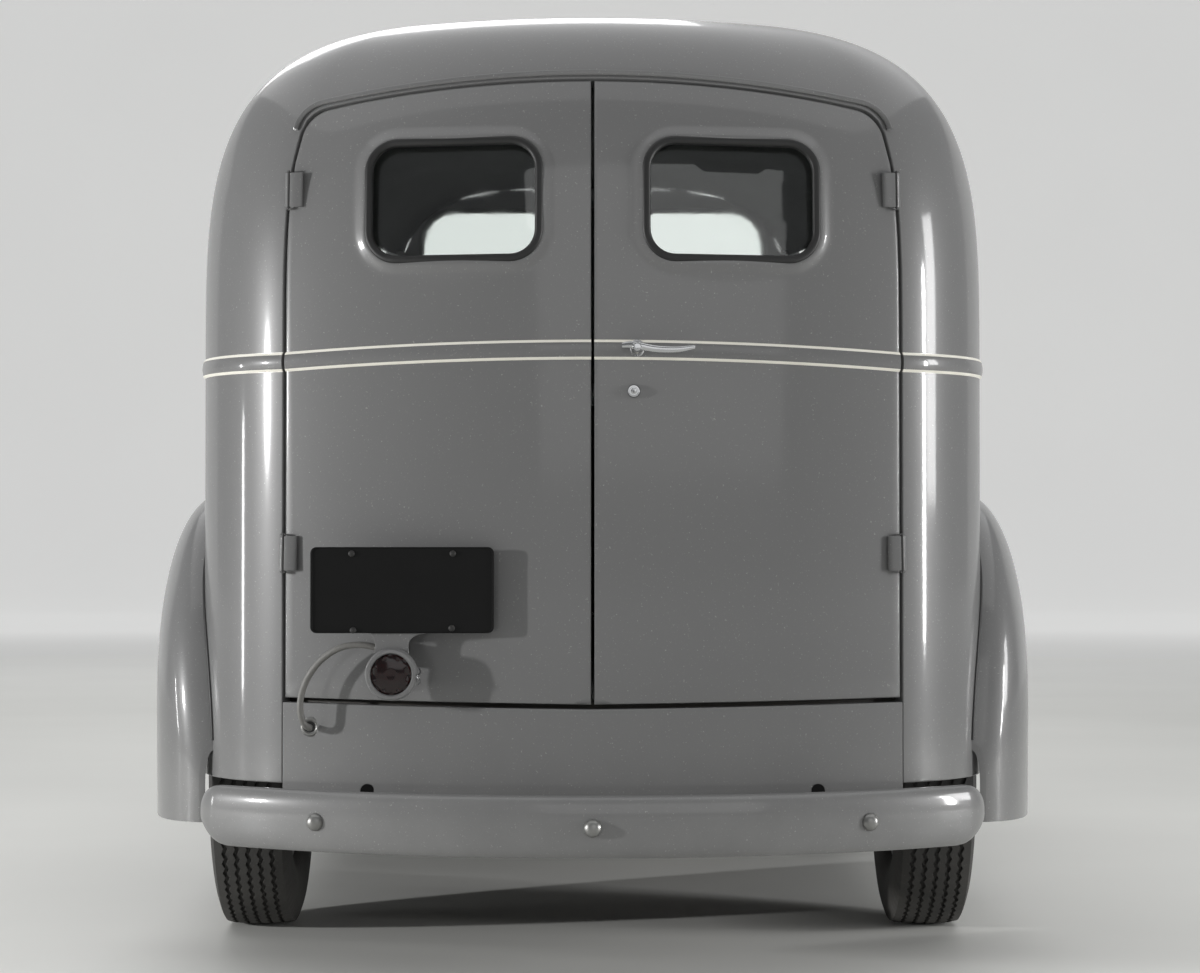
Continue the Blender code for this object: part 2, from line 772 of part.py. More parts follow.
def add_windshield(side, name, glass):
    """One pane of the divided windshield."""
    depth = (WALL - GLASS) / 2
    pane = shield_slab(name, depth, depth + GLASS, 1.2, 1.9)
    pane.name = name
    pane.data.materials.append(glass)
    right, left = add_shield_opening(name + "_outline", -SEAT)
    chosen, other = (right, left) if side > 0 else (left, right)
    keep(pane, chosen)
    hide_tool(other)
    return pane


def arch_outline(centre_y, radius, low_z, steps=18):
    """Outline in Y and Z of the part of a disc about an axle that lies above a height."""
    start = math.asin((low_z - TYRE_RADIUS) / radius)
    angles = np.linspace(start, math.pi - start, steps)
    return [(centre_y + radius * math.cos(a), TYRE_RADIUS + radius * math.sin(a)) for a in angles]


def add_floor(look):
    """Flat floor from the firewall to the rear doors, with the two wheel houses."""
    floor = loaf_solid("floor_pan", WALL + SEAT)
    low = FLOOR_TOP - FLOOR
    keep(floor, box("floor_zone", (-1, 1), (-3, COWL_Y - 0.030 - SEAT), (low, FLOOR_TOP)))
    limit = loaf_solid("floor_limit", WALL + PLAY)
    beside = box("floor_beside", (-0.79, 0.79), (-1.95, CAB_DOOR_REAR_Y - PLAY), (0.45, 0.60))
    keep(floor, fuse(limit, beside))
    wall_x = BODY_HALF_WIDTH - WALL - SEAT
    for side in (-1, 1):
        outer = arch_outline(REAR_AXLE_Y, REAR_ARCH + HOUSE, low)
        inner = arch_outline(REAR_AXLE_Y, REAR_ARCH, 0.40)
        solid = sorted((side * HOUSE_X, side * wall_x))
        hollow = sorted((side * (HOUSE_X + HOUSE), side * 1.0))
        fuse(floor, prism(f"house{side}", outer, 0, *solid))
        cut(floor, prism(f"house_hollow{side}", inner, 0, *hollow))
    return fuse_look(floor, look)


def fuse_look(target, look):
    """Gives a finish to a piece that was made without one."""
    target.data.materials.append(look)
    return target


# Chassis


def add_frame(look):
    """Ladder frame with its cross members and the arms that carry the bumpers."""
    bottom = RAIL_TOP - RAIL_HEIGHT
    outer = RAIL_X + RAIL_WIDTH / 2
    inner = RAIL_X - RAIL_WIDTH / 2
    ends = (CROSS_Y[0] - CROSS_WIDTH / 2, CROSS_Y[-1] + CROSS_WIDTH / 2)
    frame = box("frame", (-outer, outer), ends, (bottom, RAIL_TOP), look)
    half = CROSS_WIDTH / 2
    gaps = [
        ((-inner, inner), (a + half, b - half), (bottom - 0.01, RAIL_TOP + 0.01))
        for a, b in zip(CROSS_Y, CROSS_Y[1:])
    ]
    cut(frame, boxes("frame_gaps", gaps))
    arms = []
    drops = []
    for side in (-1, 1):
        x = sorted((side * (RAIL_X - ARM_HALF), side * (RAIL_X + ARM_HALF)))
        for end, away, face, start in ((0, -1, REAR_BUMPER_Y, ends[0]), (1, 1, FRONT_BUMPER_Y, ends[1])):
            inside = face - away * (bumper_bow(RAIL_X + ARM_HALF, end, BUMPER_DEPTH) + ARM_GAP)
            arms.append((x, sorted((inside, start - away * 0.080)), (BUMPER_Z - 0.035, ARM_TOP)))
            drops.append(
                (x, sorted((start - away * 0.010, start - away * 0.070)), (ARM_TOP - 0.010, bottom + 0.010))
            )
    return fuse(frame, boxes("bumper_arms", arms), boxes("bumper_arm_drops", drops))


def spring_outline(centre_y, half, low, rise, thick):
    """Outline in Y and Z of an arched leaf spring."""
    ys = np.linspace(-half, half, 7)
    under = [(centre_y + y, low + rise * (y / half) ** 2) for y in ys]
    return under + [(y, z + thick) for y, z in reversed(under)]


def add_springs(axle, centre_y, seat_low, seat_high, spring_low):
    """Joins the two leaf springs, their seats and their hangers to an axle."""
    inner = RAIL_X + RAIL_WIDTH / 2 + SEAT
    for side in (-1, 1):
        x = sorted((side * (inner + 0.004), side * (inner + 0.004 + SPRING_WIDTH)))
        leaf = spring_outline(centre_y, SPRING_HALF, spring_low, SPRING_RISE, SPRING_THICK)
        fuse(axle, prism(f"{axle.name}_leaf{side}", leaf, 0, *x))
        hang = sorted((side * inner, side * (inner + 0.008 + SPRING_WIDTH)))
        ends = [
            (
                hang,
                (centre_y + s * SPRING_HALF - 0.022, centre_y + s * SPRING_HALF + 0.022),
                (spring_low + SPRING_RISE - 0.020, 0.490),
            )
            for s in (-1, 1)
        ]
        pad = sorted((side * (inner + 0.001), side * (inner + 0.007 + SPRING_WIDTH)))
        middle = [(pad, (centre_y - 0.045, centre_y + 0.045), (seat_low, seat_high))]
        fuse(axle, boxes(f"{axle.name}_hangers{side}", ends + middle))


def add_front_axle(look):
    """Dropped beam with the kingpin eyes, and the front springs."""
    top = TYRE_RADIUS + 0.030
    low = FRONT_BEAM_Z
    eye_x = TRACK / 2 - KINGPIN_INSET
    outline = [
        (-eye_x, top - 0.060), (-0.520, top - 0.060), (-0.440, low), (0.440, low),
        (0.520, top - 0.060), (eye_x, top - 0.060), (eye_x, top), (0.500, top),
        (0.420, low + 0.055), (-0.420, low + 0.055), (-0.500, top), (-eye_x, top),
    ]
    axle = prism("front_axle", outline, 1, FRONT_AXLE_Y - 0.025, FRONT_AXLE_Y + 0.025, look)
    for side in (-1, 1):
        eye = turned(
            f"eye{side}",
            [(-EYE_HALF, 0.026), (EYE_HALF, 0.026)],
            16,
            (side * eye_x, FRONT_AXLE_Y, TYRE_RADIUS),
            2,
        )
        fuse(axle, eye)
    add_springs(axle, FRONT_AXLE_Y, low + 0.010, low + 0.095, low + 0.050)
    return axle


def add_rear_axle(look):
    """Axle tubes, the round drive housing, the propeller shaft tube and the rear springs."""
    centre = (0, REAR_AXLE_Y, TYRE_RADIUS)
    plate_in, plate_out = BACK_PLATE_X
    half = [
        (0.0, 0.120), (0.060, 0.110), (0.110, 0.060), (0.150, 0.038), (plate_in, 0.038), (plate_in, 0.150)
    ]
    half += [(plate_out, 0.150), (plate_out, STUB_RADIUS), (plate_out + 0.030, STUB_RADIUS)]
    profile = [(-a, r) for a, r in reversed(half[1:])] + half
    axle = turned("rear_axle", profile, 14, centre, 0, look)
    shaft = rod("shaft_tube", (0, REAR_AXLE_Y, TYRE_RADIUS), (0, GEARBOX_Y - 0.001, GEARBOX_Z), 0.035, 12)
    fuse(axle, shaft)
    add_springs(axle, REAR_AXLE_Y, TYRE_RADIUS - 0.100, TYRE_RADIUS, TYRE_RADIUS - 0.090)
    return axle


def add_engine(look):
    """Engine and gearbox as one plain block, with its mounts."""
    engine = box("engine_block", (-0.200, 0.200), (0.850, 1.600), (0.400, 0.940), look)
    box_y = (GEARBOX_Y, 0.900)
    fuse(engine, box("gearbox", (-0.110, 0.110), box_y, (0.340, 0.500)))
    reach = RAIL_X - RAIL_WIDTH / 2 - SEAT
    mounts = [(sorted((s * 0.19, s * reach)), (1.320, 1.400), (0.450, 0.500)) for s in (-1, 1)]
    return fuse(engine, boxes("engine_mounts", mounts))


def add_radiator(look):
    """Radiator core between the engine and the grille."""
    return box("radiator", (-0.250, 0.250), (1.690, 1.755), (RAIL_TOP + SEAT, 0.960), look)


def add_fuel_tank(look):
    """Fuel tank below the rear of the frame."""
    top = RAIL_TOP - RAIL_HEIGHT - SEAT
    outline = rounded_outline(
        [(-0.340, top - 0.150), (0.140, top - 0.150), (0.140, top), (-0.340, top)], 0.020, 2
    )
    return prism("fuel_tank", outline, 1, CROSS_Y[0] - 0.02, CROSS_Y[1] + 0.02, look)


def add_exhaust(look):
    """Manifold, down pipe, silencer and tail pipe."""
    x = 0.235
    z = 0.275
    y_down = 1.200
    exhaust = rod("exhaust", (x, y_down, 0.720), (x, y_down, z), 0.021, 10, look)
    fuse(exhaust, box("manifold", (0.200 + SEAT, 0.250), (0.950, 1.500), (0.690, 0.750)))
    fuse(exhaust, rod("long_pipe", (x, y_down + 0.015, z), (x, -2.210, z), 0.021, 10))
    fuse(exhaust, rod("silencer", (x, 0.150, z + 0.02), (x, -0.450, z + 0.02), 0.065, 14))
    strap = (RAIL_TOP - RAIL_HEIGHT) - SEAT
    hangers = [
        ((x - 0.010, x + 0.010), (y - 0.015, y + 0.015), (z, strap)) for y in (CROSS_Y[3], CROSS_Y[1])
    ]
    return fuse(exhaust, boxes("exhaust_hangers", hangers))


# Wheels and steering


def add_tyre(name, centre, look, hub):
    """Tyre as a ring with a flat tread, a facet of it on the ground."""
    outer = TYRE_RADIUS / math.cos(math.pi / TYRE_SIDES)
    half = TYRE_WIDTH / 2
    side = [(half * 0.70, RIM_RADIUS), (half * 0.93, RIM_RADIUS + 0.025), (half, RIM_RADIUS + 0.068)]
    side += [(half * 0.93, outer - 0.030), (half * 0.74, outer)]
    profile = side + [(-a, r) for a, r in reversed(side)]
    profile.append(profile[0])
    tyre = turned(name, profile, TYRE_SIDES, centre, 0, look, 180.0 / TYRE_SIDES)
    return attach(tyre, hub)


def add_wheel(side, name, centre, look, hub):
    """Disc wheel with its rim, brake drum and hub cap."""
    bead = RIM_RADIUS - SEAT
    half = TYRE_WIDTH / 2 * 0.70
    bore = (STUB_RADIUS + PIN_PLAY) / math.cos(math.pi / TYRE_SIDES)
    profile = [
        (0.050, 0.020), (0.042, 0.062), (0.014, 0.090), (0.030, 0.150), (0.010, 0.185),
        (half, 0.198), (half, bead), (-half, bead),
        (DRUM_FACE, 0.145), (DRUM_FACE, bore), (-0.008, bore), (-0.008, 0.010),
    ]
    if side < 0:
        profile = [(-a, r) for a, r in profile]
    wheel = turned(name, profile, TYRE_SIDES, centre, 0, look, 180.0 / TYRE_SIDES)
    return attach(wheel, hub)


def attach(piece, joint):
    """Parents a piece to the empty on its joint axis, with its origin on that axis."""
    place = Matrix.Translation(joint.matrix_world.translation)
    piece.data.transform(place.inverted())
    piece.parent = joint
    piece.matrix_parent_inverse = joint.matrix_world.inverted()
    piece.matrix_world = place
    return piece


def add_knuckle(side, name, look, pin):
    """Steering knuckle: fork, spindle, brake plate and steering arm."""
    pin_x = TRACK / 2 - KINGPIN_INSET
    x = side * pin_x
    y = FRONT_AXLE_Y
    z = TYRE_RADIUS
    fork_gap = EYE_HALF + PIN_PLAY
    lugs = fork_gap + 0.028
    web = pin_x + 0.026 + PLAY
    knuckle = box(
        name, sorted((side * web, side * (web + 0.014))), (y - 0.025, y + 0.025), (z - lugs, z + lugs), look
    )
    for word, low, high in (("upper", fork_gap, lugs), ("lower", -lugs, -fork_gap)):
        fuse(knuckle, turned(f"{name}_{word}", [(low, 0.028), (high, 0.028)], 16, (x, y, z), 2))
        span = sorted((x, side * (web + 0.004)))
        fuse(knuckle, box(f"{name}_{word}_arm", span, (y - 0.024, y + 0.024), (z + low, z + high)))
    stub = sorted((side * (web + 0.004), side * (TRACK / 2 - 0.012)))
    fuse(
        knuckle, turned(f"{name}_stub", [(stub[0], STUB_RADIUS), (stub[1], STUB_RADIUS)], 14, (0, y, z), 0)
    )
    plate = sorted((side * BACK_PLATE_X[0], side * BACK_PLATE_X[1]))
    fuse(knuckle, turned(f"{name}_plate", [(plate[0], 0.150), (plate[1], 0.150)], 24, (0, y, z), 0))
    arm_end = (side * ARM_END[0], y - ARM_END[1], z - lugs + 0.014)
    fuse(knuckle, rod(f"{name}_steer_arm", (x, y, z - lugs + 0.014), arm_end, ARM_RADIUS, 8))
    return attach(knuckle, pin)


def add_tie_rod(look, pivot):
    """Tie rod below the ends of the two steering arms."""
    arm_z = TYRE_RADIUS - EYE_HALF - PIN_PLAY - 0.014
    flats = math.cos(math.pi / 8)
    z = arm_z - (ARM_RADIUS + TIE_RADIUS) * flats - PIN_PLAY
    y = FRONT_AXLE_Y - ARM_END[1]
    tie = rod("tie_rod", (-ARM_END[0] - 0.015, y, z), (ARM_END[0] + 0.015, y, z), TIE_RADIUS, 8, look)
    return attach(tie, pivot)


# Fenders, hood and grille


def body_edge_x(y):
    """Half-width of the body's outer skin at a station, rounded at the rear corner."""
    bow = bow_radius()
    edge = math.asin(REAR_DOOR_HALF / bow)
    corner = (BODY_HALF_WIDTH - REAR_DOOR_HALF) / (1 - math.sin(edge))
    corner_y = DOOR_Y + bow - (bow - corner) * math.cos(edge)
    back = np.clip(corner_y - y, 0.0, corner * 0.995)
    return np.where(y < corner_y, BODY_HALF_WIDTH - corner + np.sqrt(corner**2 - back**2), side_width(y))


def fender_rows(ends, centre_y, inner_x, outer_x, top, bottom, middle, powers, inset, stations, apron=None):
    """Grid of points of a fender: rows go from the inner border over the crown to the lip.

    ends gives the rear and front Y, powers the roundness of the side view, of the plan and of the
    cross section.
    """
    side_power, plan_power, section_power = powers
    share = np.sin(np.linspace(-1, 1, stations) * math.pi / 2) * 0.992
    reach = np.where(share < 0, centre_y - ends[0], ends[1] - centre_y)
    y = centre_y + share * reach
    side_view = (1 - np.abs(share) ** side_power) ** (1 / side_power)
    plan_view = (1 - np.abs(share) ** plan_power) ** (1 / plan_power)
    x_in = inner_x(y)
    bottom = bottom(y)
    crown = bottom + 0.02 + (top - bottom - 0.02) * side_view - inset
    width = (outer_x - x_in) * plan_view - inset
    waist = np.minimum(middle, bottom + (crown - bottom) * 0.5)
    rows = []
    if apron is not None:
        rows.append(np.stack([x_in + inset, y, np.minimum(apron, crown - 0.004)], 1))
    lean = inset if apron is not None else 0.0
    for angle in np.radians((0, 14, 28, 42, 56, 70, 90)):
        out = math.sin(angle) ** (2 / section_power)
        up = max(math.cos(angle), 0.0) ** (2 / section_power) if angle < 1.57 else 0.0
        rows.append(np.stack([x_in + lean * (1 - out) + width * out, y, waist + (crown - waist) * up], 1))
    rows.append(np.stack([x_in + width * 0.985, y, bottom], 1))
    return np.stack(rows)


def add_rear_fender(side, name, paint):
    """Bulged rear fender with its wheel opening."""
    ends = (REAR_AXLE_Y - 0.665, REAR_AXLE_Y + 0.620)

    def bottom(y):
        """Height of the lip: on the running board ahead of the wheel, lower behind it."""
        return np.where(y > REAR_AXLE_Y, BOARD_TOP + SEAT, REAR_FENDER_BOTTOM)

    def grid(inset):
        """Points of the outer skin, or of the skin inside it."""
        rows = fender_rows(
            ends, REAR_AXLE_Y - 0.060, lambda y: body_edge_x(y) - BITE, REAR_FENDER_HALF, REAR_FENDER_TOP,
            bottom, 0.500, (2.5, 2.6, 2.5), inset, 13,
        )
        return rows * (side, 1, 1)

    fender = sheet(name, grid(0.0), grid(FENDER), paint)
    opening = turned(
        name + "_opening",
        [(-0.3, REAR_OPENING), (0.3, REAR_OPENING)],
        40,
        (side * 0.95, REAR_AXLE_Y, TYRE_RADIUS),
        0,
    )
    return cut(fender, opening, loaf_solid(name + "_body", -SEAT))


def hood_half(y):
    """Half-width of the hood opening between the front fenders at a station."""
    share = (y - COWL_Y) / (HOOD_NOSE_Y - COWL_Y)
    return HOOD_REAR_HALF + (HOOD_NOSE_HALF - HOOD_REAR_HALF) * np.clip(share, 0.0, 1.1) ** 1.25


def front_inner_x(y):
    """Inner border of the front fender: the cowl's side, then the hood's side."""
    beside = side_width(y) - BITE
    ahead = hood_half(np.asarray(y, float)) + PLAY
    blend = np.clip((np.asarray(y) - COWL_Y) / 0.12, 0.0, 1.0)
    return beside + (ahead - beside) * blend


def front_crown(y):
    """Height of the front fender's crown at a station."""
    rear, front = FRONT_FENDER_ENDS
    reach = np.where(y < FRONT_FENDER_CENTRE, FRONT_FENDER_CENTRE - rear, front - FRONT_FENDER_CENTRE)
    share = np.clip(np.abs(y - FRONT_FENDER_CENTRE) / reach, 0.0, 1.0)
    side_view = (1 - share ** FRONT_POWERS[0]) ** (1 / FRONT_POWERS[0])
    low = front_bottom(y)
    return low + 0.02 + (FRONT_FENDER_TOP - low - 0.02) * side_view


def front_bottom(y):
    """Height of the front fender's lip: on the running board behind the wheel, higher ahead of it."""
    return np.where(y < FRONT_AXLE_Y, BOARD_TOP + SEAT, FRONT_FENDER_BOTTOM)


def add_front_fender(side, name, paint):
    """Front fender with its inner apron, its wheel opening and the seat of the headlamp."""

    def grid(inset):
        """Points of the outer skin, or of the skin inside it."""
        rows = fender_rows(
            FRONT_FENDER_ENDS, FRONT_FENDER_CENTRE, front_inner_x, FRONT_FENDER_HALF, FRONT_FENDER_TOP,
            front_bottom, 0.560, FRONT_POWERS, inset, 14, RAIL_TOP + SEAT,
        )
        return rows * (side, 1, 1)

    fender = sheet(name, grid(0.0), grid(FENDER), paint)
    y = np.linspace(HOOD_Y, HOOD_NOSE_Y, 9)
    x = front_inner_x(y)
    crown = front_crown(y)
    rows = [
        np.stack([x, y, crown - 0.030], 1), np.stack([x, y, np.maximum(crown - BITE, HOOD_LOW_Z - PLAY)], 1)
    ]
    wall = np.stack(rows)
    fuse(fender, sheet(name + "_hood_side", wall * (side, 1, 1), (wall + (FENDER, 0, 0)) * (side, 1, 1)))
    opening = turned(
        name + "_opening",
        [(-0.2, FRONT_ARCH), (0.3, FRONT_ARCH)],
        40,
        (side * 0.80, FRONT_AXLE_Y, TYRE_RADIUS),
        0,
    )
    lamp = lamp_body(name + "_lamp_seat", side, SEAT)
    return cut(fender, opening, lamp, loaf_solid(name + "_body", -SEAT))


def lamp_body(name, side, grow, look=None):
    """Bullet-shaped headlamp body, or the hole for it."""
    x, y, z = HEADLAMP
    radius = HEADLAMP_RADIUS + grow
    profile = [
        (-0.200, 0.040 + grow), (-0.150, 0.070 + grow), (-0.080, 0.090 + grow), (-0.010, radius),
        (0.012, radius), (0.020 + grow, radius - 0.012), (0.034 + grow, 0.060), (0.040 + grow, 0.020),
    ]
    return turned(name, profile, 18, (side * x, y, z), 1, look)


def add_hood(paint, hinge):
    """Hood lid, hinged at the cowl."""

    def grid(inset):
        """Points of the outer or inner skin, row by row from right to left over the top."""
        rows = []
        y = np.concatenate([np.linspace(HOOD_Y, 1.80, 4), np.linspace(1.90, HOOD_NOSE_Y, 5)])
        share = (y - HOOD_Y) / (HOOD_NOSE_Y - HOOD_Y)
        droop = np.clip((share - 0.72) / 0.28, 0.0, 1.0)
        fall = 0.170 * (1 - np.sqrt(1 - 0.98 * droop**2))
        top = HOOD_REAR_TOP + (HOOD_NOSE_TOP - HOOD_REAR_TOP) * share - fall - inset
        low = front_crown(y) + PLAY
        low = np.maximum(low, HOOD_LOW_Z)
        half = hood_half(y) - inset
        for angle in np.radians(np.linspace(0, 180, 15)):
            across = 0.0
            if abs(angle - math.pi / 2) > 1e-6:
                across = math.copysign(abs(math.cos(angle)) ** (2 / HOOD_POWER), math.cos(angle))
            up = math.sin(angle) ** (2 / HOOD_POWER) if 1e-6 < angle < math.pi - 1e-6 else 0.0
            rows.append(np.stack([half * across, y, low + (top - low) * up], 1))
        return np.stack(rows)

    hood = sheet("hood", grid(0.0), grid(HOOD_SHEET), paint)
    return attach(hood, hinge)


def add_grille(look):
    """Nose panel below the hood with its upright bars, slots cut between them."""
    xs = np.linspace(-GRILLE_HALF, GRILLE_HALF, 9)
    zs = np.linspace(RAIL_TOP + SEAT, GRILLE_TOP, 4)

    def grid(depth):
        """Points of the front or the back of the panel."""
        rows = []
        for z in zs:
            lift = (z - zs[0]) / (zs[-1] - zs[0])
            swell = GRILLE_SWELL * (1 - 0.35 * lift**2)
            narrow = 1 - 0.05 * lift**3
            rows.append(
                np.stack(
                    [
                        xs * narrow,
                        GRILLE_Y - depth + swell * (1 - (xs / GRILLE_HALF) ** 2),
                        np.full_like(xs, z),
                    ],
                    1,
                ),
            )
        return np.stack(rows)

    grille = sheet("grille", grid(0.0), grid(0.030), look)
    pitch = 2 * (GRILLE_HALF - 0.03) / GRILLE_SLOTS
    slots = []
    for i in range(GRILLE_SLOTS):
        x = -GRILLE_HALF + 0.03 + pitch * (i + 0.5)
        slots.append(
            (
                (x - pitch * 0.28, x + pitch * 0.28),
                (GRILLE_Y - 0.1, GRILLE_Y + 0.2),
                (0.560, GRILLE_TOP - 0.04),
            ),
        )
    return cut(grille, boxes("grille_slots", slots))


def add_running_board(side, name, look):
    """Running board below the cab door, from fender to fender."""
    rear = REAR_AXLE_Y + 0.450
    front = FRONT_FENDER_ENDS[0] + 0.120
    x_in = RAIL_X + RAIL_WIDTH / 2 + SEAT
    low = BOARD_TOP - BOARD
    outline = rounded_outline(
        [(0.560, low), (0.900, low), (0.900, BOARD_TOP), (0.560, BOARD_TOP)], 0.012, 2
    )
    board = prism(name, outline if side > 0 else mirrored(outline), 1, rear, front, look)
    rail_low = RAIL_TOP - RAIL_HEIGHT
    reach = sorted((side * x_in, side * 0.620))
    brackets = [(reach, (y - 0.02, y + 0.02), (0.350, rail_low + 0.040)) for y in (-0.300, 0.300)]
    return fuse(board, boxes(name + "_brackets", brackets))


# Bumpers


def bumper_bow(x, end, depth=0.0):
    """How far the bumper, at a depth below its face, lies behind the face's middle at a distance x."""
    radius = BUMPER_BOW[end]
    return radius - math.sqrt((radius - depth) ** 2 - x * x)


def add_bumper(name, end, look):
    """Bumper bar, bowed in plan and curled round the corners."""
    half = (REAR_BUMPER_HALF, FRONT_BUMPER_HALF)[end]
    face_y = (REAR_BUMPER_Y, FRONT_BUMPER_Y)[end]
    away = (-1, 1)[end]
    radius = BUMPER_BOW[end]
    curl = 0.150
    turn = math.asin((half - curl) / (radius - curl))
    path = [(radius * math.sin(a), radius - radius * math.cos(a), a) for a in np.linspace(0, turn, 5)]
    centre_x = (radius - curl) * math.sin(turn)
    centre_s = radius - (radius - curl) * math.cos(turn)
    for a in np.linspace(turn, math.radians(88), 6)[1:]:
        path.append((centre_x + curl * math.sin(a), centre_s - curl * math.cos(a), a))
    path = [(-x, s, -a) for x, s, a in reversed(path[1:])] + path
    stack = []
    for i, (x, s, a) in enumerate(path):
        last = i in (0, len(path) - 1)
        size = 0.72 if last else 1.0
        ring = []
        for t in np.radians(np.arange(0, 360, 45) + 22.5):
            up = math.copysign(abs(math.sin(t)) ** 0.7, math.sin(t)) * BUMPER_HEIGHT / 2 * size
            deep = (math.copysign(abs(math.cos(t)) ** 0.7, math.cos(t)) - 1) * BUMPER_DEPTH / 2
            ring.append(
                (x + deep * math.sin(a), face_y - away * s + away * deep * math.cos(a), BUMPER_Z + up)
            )
        stack.append(ring)
    bumper = rings(name, np.array(stack), look)
    for x in (-BOLT_X, 0.0, BOLT_X):
        y = face_y - away * bumper_bow(abs(x), end)
        profile = sorted(
            [(-0.012 * away, 0.0155), (BOLT_PROUD * 0.6 * away, 0.0145), (BOLT_PROUD * away, 0.008)]
        )
        fuse(bumper, turned(f"{name}_bolt{x}", profile, 12, (x, y, BUMPER_Z), 1))
    return bumper


# Cab inside


def add_seat(look):
    """Bench seat with its back."""
    low = FLOOR_TOP + SEAT
    outline = [
        (-0.300, low), (0.150, low), (0.190, 0.660), (0.190, 0.790), (0.150, 0.820),
        (-0.150, 0.800), (-0.215, 1.190), (-0.245, 1.215), (-0.300, 1.200), (-0.310, 0.900),
    ]
    return prism("seat", outline, 0, -0.560, 0.560, look)


def add_steering_wheel(look):
    """Steering wheel with three spokes on its column, which stands on the floor."""
    centre = Vector((-0.330, 0.270, 1.080))
    foot = Vector((-0.330, 0.740, 0.500))
    along = (foot - centre).normalized()
    turn = along.to_track_quat("Z", "Y").to_matrix()
    steps = 22
    sides = 5
    stack = np.zeros((steps, sides, 3))
    for i in range(steps):
        a = 2 * math.pi * i / steps
        for j in range(sides):
            b = 2 * math.pi * j / sides
            reach = 0.205 + 0.012 * math.cos(b)
            stack[i, j] = centre + turn @ Vector(
                (reach * math.cos(a), reach * math.sin(a), 0.012 * math.sin(b))
            )
    faces = grid_faces(steps, sides, closed=True)
    last = (steps - 1) * sides
    faces += [(last + (j + 1) % sides, last + j, j, (j + 1) % sides) for j in range(sides)]
    wheel = add_object("steering_wheel", mesh_from("steering_wheel", stack.reshape(-1, 3), faces), look)
    fuse(wheel, rod("steering_hub", centre - along * 0.012, centre + along * 0.060, 0.035, 12))
    fuse(wheel, rod("steering_column", centre + along * 0.040, foot, 0.020, 10))
    for i in range(3):
        a = math.radians(90 + 120 * i)
        tip = centre + turn @ Vector((0.205 * math.cos(a), 0.205 * math.sin(a), 0))
        fuse(wheel, rod(f"spoke{i}", centre + along * 0.02, tip, 0.008, 6))
    return cut(wheel, box("column_floor", (-0.5, -0.1), (0.5, 0.9), (0.3, FLOOR_TOP + SEAT)))


# Hinges and fittings


def rear_hinge_point(side, z):
    """Point on the hinge line of a rear door, outside the skin; the line leans with the body."""
    x = REAR_DOOR_HALF * float(loaf_draw(z))
    flat = float(bow_y(REAR_DOOR_HALF))
    spine = DOOR_Y + ROOF_DRAW
    y = spine + (flat - spine) * float(loaf_draw(z)) - HINGE_STANDOFF
    return Vector((side * x, y, z))


def cab_hinge_point(side, z):
    """Point on the hinge line of a cab door, outside the skin."""
    return Vector((side * (float(side_width(CAB_DOOR_FRONT_Y)) + HINGE_STANDOFF), CAB_DOOR_FRONT_Y, z))


def add_hinge(door, body, name, point, along, door_way, depth_way, reach=HINGE_STANDOFF + 0.010):
    """Folded hinge: a knuckle and a leaf on the door between two knuckles and leaves on the body."""
    half = HINGE_LENGTH / 2
    share = 0.36 * half
    thick = HINGE_PIN / 2
    for target, way, low, high, word in (
        (door, 1, -share, share, "middle"),
        (body, -1, -half, -share - PIN_PLAY, "low"),
        (body, -1, share + PIN_PLAY, half, "high"),
    ):
        fuse(target, rod(f"{name}_{word}_pin", point + along * low, point + along * high, HINGE_PIN, 10))
        side_way = door_way * way
        stack = []
        for base in (point + along * low, point + along * high):
            near = base + side_way * (thick + PIN_PLAY)
            far = base + side_way * HINGE_LEAF
            ring = (
                base - depth_way * thick,
                far - depth_way * thick,
                far + depth_way * reach,
                near + depth_way * reach,
                near,
            )
            stack.append([tuple(p) for p in ring])
        fuse(target, rings(f"{name}_{word}_leaf", np.array(stack)))


def add_plate(look, hinge):
    """Blank number plate on its bracket, which reaches down to the tail lamp."""
    (x, z), (width, height) = PLATE_CENTRE, PLATE_SIZE
    y = PLATE_Y
    plate = box(
        "number_plate",
        (x - width / 2, x + width / 2),
        (y, y + 0.006),
        (z - height / 2, z + height / 2),
        look,
    )
    lamp_x, lamp_z = LAMP_CENTRE
    neck = [
        (lamp_x - 0.050, z - 0.050),
        (lamp_x - 0.030, lamp_z + 0.055),
        (lamp_x + 0.030, lamp_z + 0.055),
        (lamp_x + 0.080, z - 0.050),
    ]
    fuse(plate, prism("plate_neck", neck, 1, y + 0.004, y + 0.010))
    ring = [
        (lamp_x + (LAMP_RADIUS) * math.cos(a), lamp_z + LAMP_RADIUS * math.sin(a))
        for a in np.linspace(0, 2 * math.pi, 20, endpoint=False)
    ]
    fuse(plate, prism("plate_ring", ring, 1, y + 0.004, y + 0.010))
    foot = float(bow_y(abs(lamp_x) - 0.020)) - SEAT
    fuse(plate, box("plate_foot", (lamp_x - 0.018, lamp_x + 0.020), (y + 0.008, foot), (0.620, 0.660)))
    top_foot = float(bow_y(abs(x) - 0.060)) - SEAT
    fuse(plate, box("plate_stay", (x - 0.060, x + 0.060), (y + 0.004, top_foot), (0.775, 0.795)))
    return attach(plate, hinge)


def add_tail_lamp(look, hinge):
    """Round tail lamp in front of the bracket's ring."""
    lamp_x, lamp_z = LAMP_CENTRE
    depth = 0.034
    profile = [
        (-depth, 0.020), (-depth + 0.008, 0.040), (-depth + 0.012, 0.046), (-0.018, 0.050), (-SEAT, 0.050)
    ]
    lamp = turned("tail_lamp", profile, 20, (lamp_x, PLATE_Y + 0.004, lamp_z), 1, look)
    return attach(lamp, hinge)


